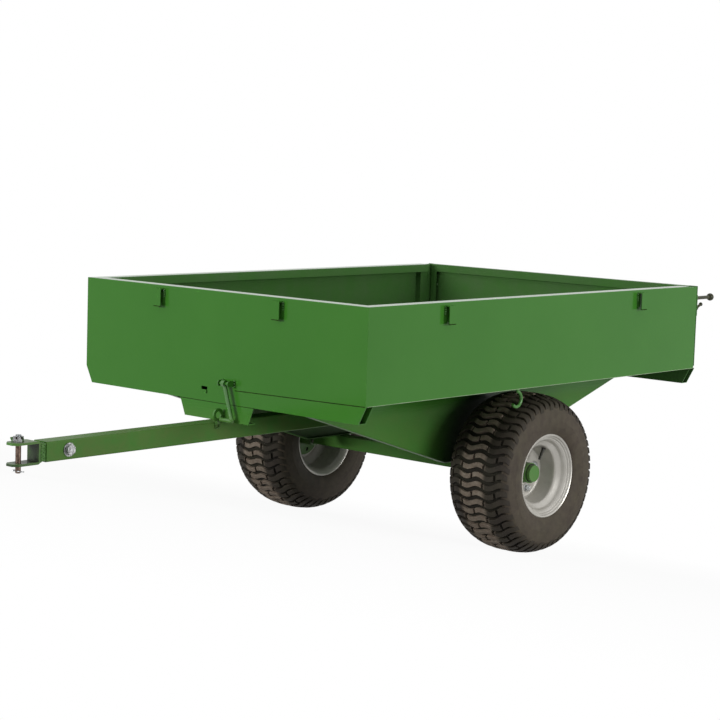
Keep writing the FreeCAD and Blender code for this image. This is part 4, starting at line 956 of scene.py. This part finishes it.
# %% Drawbar welds
EYE_X, BUSH, CLEVIS_BACK, NECK_BEAD = FRONT_X + 20, 18.0, 1414.5, 22.6
DRAWBAR_TOP = PIVOT_HEIGHT + BAR_HALF
seams = [seam(EYE_X + edge, BAR_HALF + 1.5, DRAWBAR_TOP - 15, dz=13) for edge in (-7, 7)]
seams.append(seam(EYE_X - 6, BAR_HALF + 2, DRAWBAR_TOP - 16.5, dx=12))
turns = [radians(a) for a in range(-90, 91, 15)]
seams += [[(BUSH * cos(a), side * BAR_HALF, PIVOT_HEIGHT + BUSH * sin(a)) for a in turns]
          for side in (1, -1)]
seams.append(round_square(NECK_BEAD, lambda u, v: (CLEVIS_BACK, u, PIVOT_HEIGHT + v)))
weld("drawbar_welds", "drawbar", seams, 3.8, 2.8)

# %% [markdown]
# ## Spatter and the hitch's small parts
# The clevis is welded to the neck in a hurry, so the paint there covers grains of
# spatter, which Geometry Nodes scatter over the neck's open faces. Under the nut a
# locking tab is bent up. A split pin, a wire folded on itself with its legs spread,
# goes through the hitch pin's end.

# %% Spatter on the neck
NECK_X, NECK_HALF, DROPS_PER_M2, DROP = (1400.5, 1416.0), 22.3, 70000.0, 1.5
bm = bmesh.new()
for axis in (0, 1):
    for way in (-1, 1):
        face = []
        for x, w in ((NECK_X[0], -1), (NECK_X[1], -1), (NECK_X[1], 1), (NECK_X[0], 1)):
            u, v = way * NECK_HALF, w * (NECK_HALF - 1)
            face.append(bm.verts.new(at(x, u if axis else v, PIVOT_HEIGHT + (v if axis else u))))
        bm.faces.new(face)
neck_faces = bpy.data.meshes.new("neck_faces")
bm.to_mesh(neck_faces)
bm.free()
tree, given = new_tree("weld_spatter", Puddle="Object", Density="Float", Size="Float", Seed="Int",
                       Paint="Material")
dots = add_node(tree, "GeometryNodeDistributePointsOnFaces", {
    "Mesh": given["Mesh"], "Density": given["Density"], "Seed": given["Seed"]})
puddled(tree, given, dots, 0.5, 1.3)
mesh = grown(neck_faces, tree, Puddle=puddle_source, Density=DROPS_PER_M2, Size=DROP * MM, Seed=5,
             Paint=green_fittings)
add_piece("neck_spatter", mesh, green_fittings, "drawbar")

# %% Locking tab
CLEVIS_TOP = PIVOT_HEIGHT + 29.0
TAB = ((1458, 0, 0), (1474, 0, 0), (1474, 0.8, 2.4), (1458, 0.8, 2.4))
bm = bmesh.new()
skinned(bm, [[at(x, y + dy, CLEVIS_TOP + z + dz) for x, dy, dz in TAB]
             for y, z in ((-15, -0.5), (-21, 1.5), (-25, 7))])
add_piece("nut_locking_tab", to_mesh(bm, 30), green_fittings, "drawbar")

# %% Split pin
PIN_X, CLIP_Z, CLIP_WIRE, CLIP_LEG, CLIP_LOOP = 1468.0, 325.0, 1.6, 1.2, 4.4


def wire(bm, points, radius, steps=10):
    """A round wire along level-frame points in mm, closed at its ends."""
    line = [Vector(p) for p in points]
    turns = [tau * k / steps for k in range(steps)]
    rings = []
    for i, point in enumerate(line):
        along = (line[min(len(line) - 1, i + 1)] - line[max(0, i - 1)]).normalized()
        aside = Vector((0, 0, 1)) if abs(along.z) < 0.9 else Vector((1, 0, 0))
        across = along.cross(aside).normalized()
        over = along.cross(across)
        rings.append([at(*(point + radius * (across * cos(a) + over * sin(a)))) for a in turns])
    skinned(bm, rings)


bm = bmesh.new()
loop = [(PIN_X + CLIP_LOOP * sin(a), -14.0 - CLIP_LOOP * cos(a), CLIP_Z)
        for a in (radians(d) for d in range(-135, 136, 30))]
wire(bm, [(PIN_X - CLIP_LEG, -9, CLIP_Z)] + loop + [(PIN_X + CLIP_LEG, -9, CLIP_Z)], CLIP_WIRE)
for way in (-1, 1):
    leg = ((CLIP_LEG, -9, 0), (CLIP_LEG, 7.2, 0), (2.6, 9.2, 0.6), (6.5, 10.6, 1.6), (10.5, 9, 2))
    wire(bm, [(PIN_X + way * x, y, CLIP_Z + way * z) for x, y, z in leg], CLIP_WIRE)
add_piece("split_pin", to_mesh(bm, 60), zinc, "drawbar", "dark_steel", "hitch_pin_clip")

# %% [markdown]
# ## Tailgate latches
# Each latch is a plate on the tailgate with a ball-ended handle. Under it a short
# release stub leans out, with a small ball and a spring, a wire along a helix, round
# its root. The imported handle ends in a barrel; this piece stands for it with a ball.

# %% Handle coat and latch sizes
dark_olive, tree, where = new_material("worn_olive_handle_coat")
end_material(tree, {
    "Base Color": layered(tree, "#23281a", (clouded(tree, where, 8.0), "#4a4a30")),
    "IOR": 1.5, "Roughness": clouded(tree, where, 6.0, 0.22, 0.4), "Specular IOR Level": 0.25,
    "Normal": bumped(tree, where, ((3.0, 0.05, 0.4),))})
HANDLE_SIDE, HANDLE_Z, BOLT_Z = 520.0, BED_Z + 214.0, BED_Z + 181.5
GATE_SKIN, GATE_BOLT = HALF_W - 1.5, 497.0
KNOB_X, KNOB, ROD, STUB_KNOB, STUB = REAR_X - 98.0, 11.5, 5.5, 6.0, 4.0
COIL_TURNS, COIL_STEPS, COIL_LONG, COIL_RADIUS, COIL_WIRE = 6, 12, 24, 5.6, 0.9
print("handles:", REAR_X - KNOB_X, "mm long")

# %% Handles, springs and plates
def ball(bm, centre, radius):
    """A ball at a level-frame point in mm."""
    made = bmesh.ops.create_uvsphere(bm, u_segments=32, v_segments=20, radius=radius * MM)
    bmesh.ops.translate(bm, verts=made["verts"], vec=at(*centre))


def slab(bm, place, us, vs, steps):
    """Skins rectangles over us by vs, one for each (depth, inset); place maps (depth, u, v)."""
    rings = []
    for depth, inset in steps:
        (left, right), (foot, top) = [(low + inset, high - inset) for low, high in (us, vs)]
        rings.append([place(depth, u, v) for u, v in
                      ((left, foot), (right, foot), (right, top), (left, top))])
    skinned(bm, rings)


handles, plates = bmesh.new(), bmesh.new()
for side in (1, -1):
    slab(plates, at, sorted((side * GATE_SKIN, side * (GATE_SKIN - 50))),
         (HANDLE_Z - 53, HANDLE_Z + 11),
         [(REAR_X + depth, inset) for depth, inset in ((-3, 0.6), (-2.4, 0), (-0.6, 0), (0, 0.6))])
    y = side * HANDLE_SIDE
    wire(handles, [(x, y, HANDLE_Z) for x in (REAR_X - 2, REAR_X - 50, KNOB_X)], ROD, 20)
    ball(handles, (KNOB_X, y, HANDLE_Z), KNOB)
    root = Vector((REAR_X - 1.5, y, BOLT_Z - 8))
    tip = Vector((REAR_X - 46, y, BOLT_Z + 12))
    wire(handles, [root, (root + tip) / 2, tip], STUB, 16)
    ball(handles, tip, STUB_KNOB)
    way = (tip - root).normalized()
    sideways = Vector((0, 1, 0))
    across = way.cross(sideways).normalized()
    count = COIL_TURNS * COIL_STEPS
    coil = []
    for i in range(count + 1):
        a = tau * i / COIL_STEPS
        coil.append(root + way * (3 + COIL_LONG * i / count)
                    + COIL_RADIUS * (across * cos(a) + sideways * sin(a)))
    wire(handles, coil, COIL_WIRE, 6)
    lathe(plates, lambda u, v, d, y=side * GATE_BOLT: at(d, y + u, BOLT_Z + v),
          ((8.0, REAR_X + 0.2), (8.0, REAR_X + 6.0), (6.6, REAR_X + 7.0)), 24)
add_piece("tailgate_handles", to_mesh(handles), dark_olive, "tailgate",
          "green_paint", "tailgate_latches")
add_piece("tailgate_latch_plates", to_mesh(plates), green_fittings, "tailgate")

# %% Welds of the tailgate and the lever
GATE_OUT, PLATE_IN, HINGE_SIDE, HINGE_HALF = REAR_X - 1.4, GATE_SKIN - 51, 330, 31
seams = []
for side in (1, -1):
    seams += [seam(GATE_OUT, side * PLATE_IN, HANDLE_Z - low, dz=14) for low in (49, 7)]
    seams += [seam(GATE_OUT, side * HINGE_SIDE + way * HINGE_HALF, 506, dz=22) for way in (-1, 1)]
weld("tailgate_welds", "tailgate", seams, 4.5, 2.4)
LEVER_X = FRONT_X + 18
weld("lever_tip_weld", "latch_lever", [seam(LEVER_X, 80, BED_Z - 84, dy=-1.4, dz=-4)], 3.0, 6.2)

# %% [markdown]
# ## Crease in the front wall
# The floor's edge lies behind the front wall, and the sheet has a crease there. The shade in
# it, and in the seam over the saddle, is painted as a thin dark line: a strip a few
# tenths of a millimetre proud.

# %% Crease and seam
def strip(bm, points, half, proud):
    """A low ridge along points on the front wall; proud in mm at its middle."""
    sides = ((-half, -0.3), (-half / 2, proud), (half / 2, proud), (half, -0.3))
    skinned(bm, [[at(x + lift, y, z + rise) for rise, lift in sides] for x, y, z in points])


SADDLE_HALF, SEAM_Z = 141.0, APRON_Z - 0.75
# Painted shade in the crease, then in the seam over the saddle.
bm = bmesh.new()
strip(bm, [(FRONT_X, 70 + 465 * i / 12, 481 + 9 * i / 12) for i in range(13)], 1.6, 0.35)
strip(bm, [(FRONT_X, SADDLE_HALF * (i / 6 - 1), SEAM_Z) for i in range(13)], 1.2, 0.2)
add_piece("front_wall_seams", to_mesh(bm, 50), shade_line, "tub")

# %% [markdown]
# ## Painted shadows on the tie hooks
# A thin dark strip along the free end of each tie hook is painted shadow, the shade
# under the hook's lower edge.

# %% Hook edges
HOOK_FACE, HOOK_LOW = 16.0, TOP_Z - 58
hooks = [(at, FRONT_X, middle) for middle in (-FRONT_HOOKS, FRONT_HOOKS)]
hooks += [(lambda out, u, z, side=side: at(u, side * out, z), HALF_W, TUB_MIDDLE + middle)
          for side in (1, -1) for middle in (-SIDE_HOOKS, SIDE_HOOKS)]
bm = bmesh.new()
for place, wall, middle in hooks:
    slab(bm, place, (middle - HOOK_HALF, middle + HOOK_HALF), (HOOK_LOW - 0.3, HOOK_LOW + 2.2),
         [(wall + HOOK_FACE + lift, inset) for lift, inset in ((-1, 0), (0.1, 0), (0.3, 0.3))])
# Each strip is painted shadow under a hook's free end.
add_piece("tie_hook_edges", to_mesh(bm, 50), shade_line, "tub")

# %% [markdown]
# ## Painted highlights on edges
# The bottom edges of the side walls catch the light as a thin pale line, and it is
# painted: a pale bead of little over a millimetre.

# %% Bottom edges of the side walls
# A pale coat as painted highlight.
edge_highlight, tree, where = new_material("painted_edge_highlight")
end_material(tree, {
    "Base Color": layered(tree, "#6f9a5c", (clouded(tree, where, 60.0), "#a3b894")),
    "IOR": 1.5, "Roughness": clouded(tree, where, 40.0, 0.25, 0.4)})
EDGE_RADIUS, EDGE_Z = 0.9, BED_Z + 0.6
bm = bmesh.new()
for side in (1, -1):
    y = side * (HALF_W - EDGE_RADIUS + 0.3)
    wire(bm, [(x, y, EDGE_Z) for x in (REAR_X + 4, 0, FRONT_X - 6)], EDGE_RADIUS, 8)
add_piece("side_wall_edges", to_mesh(bm, 60), edge_highlight, "tub")
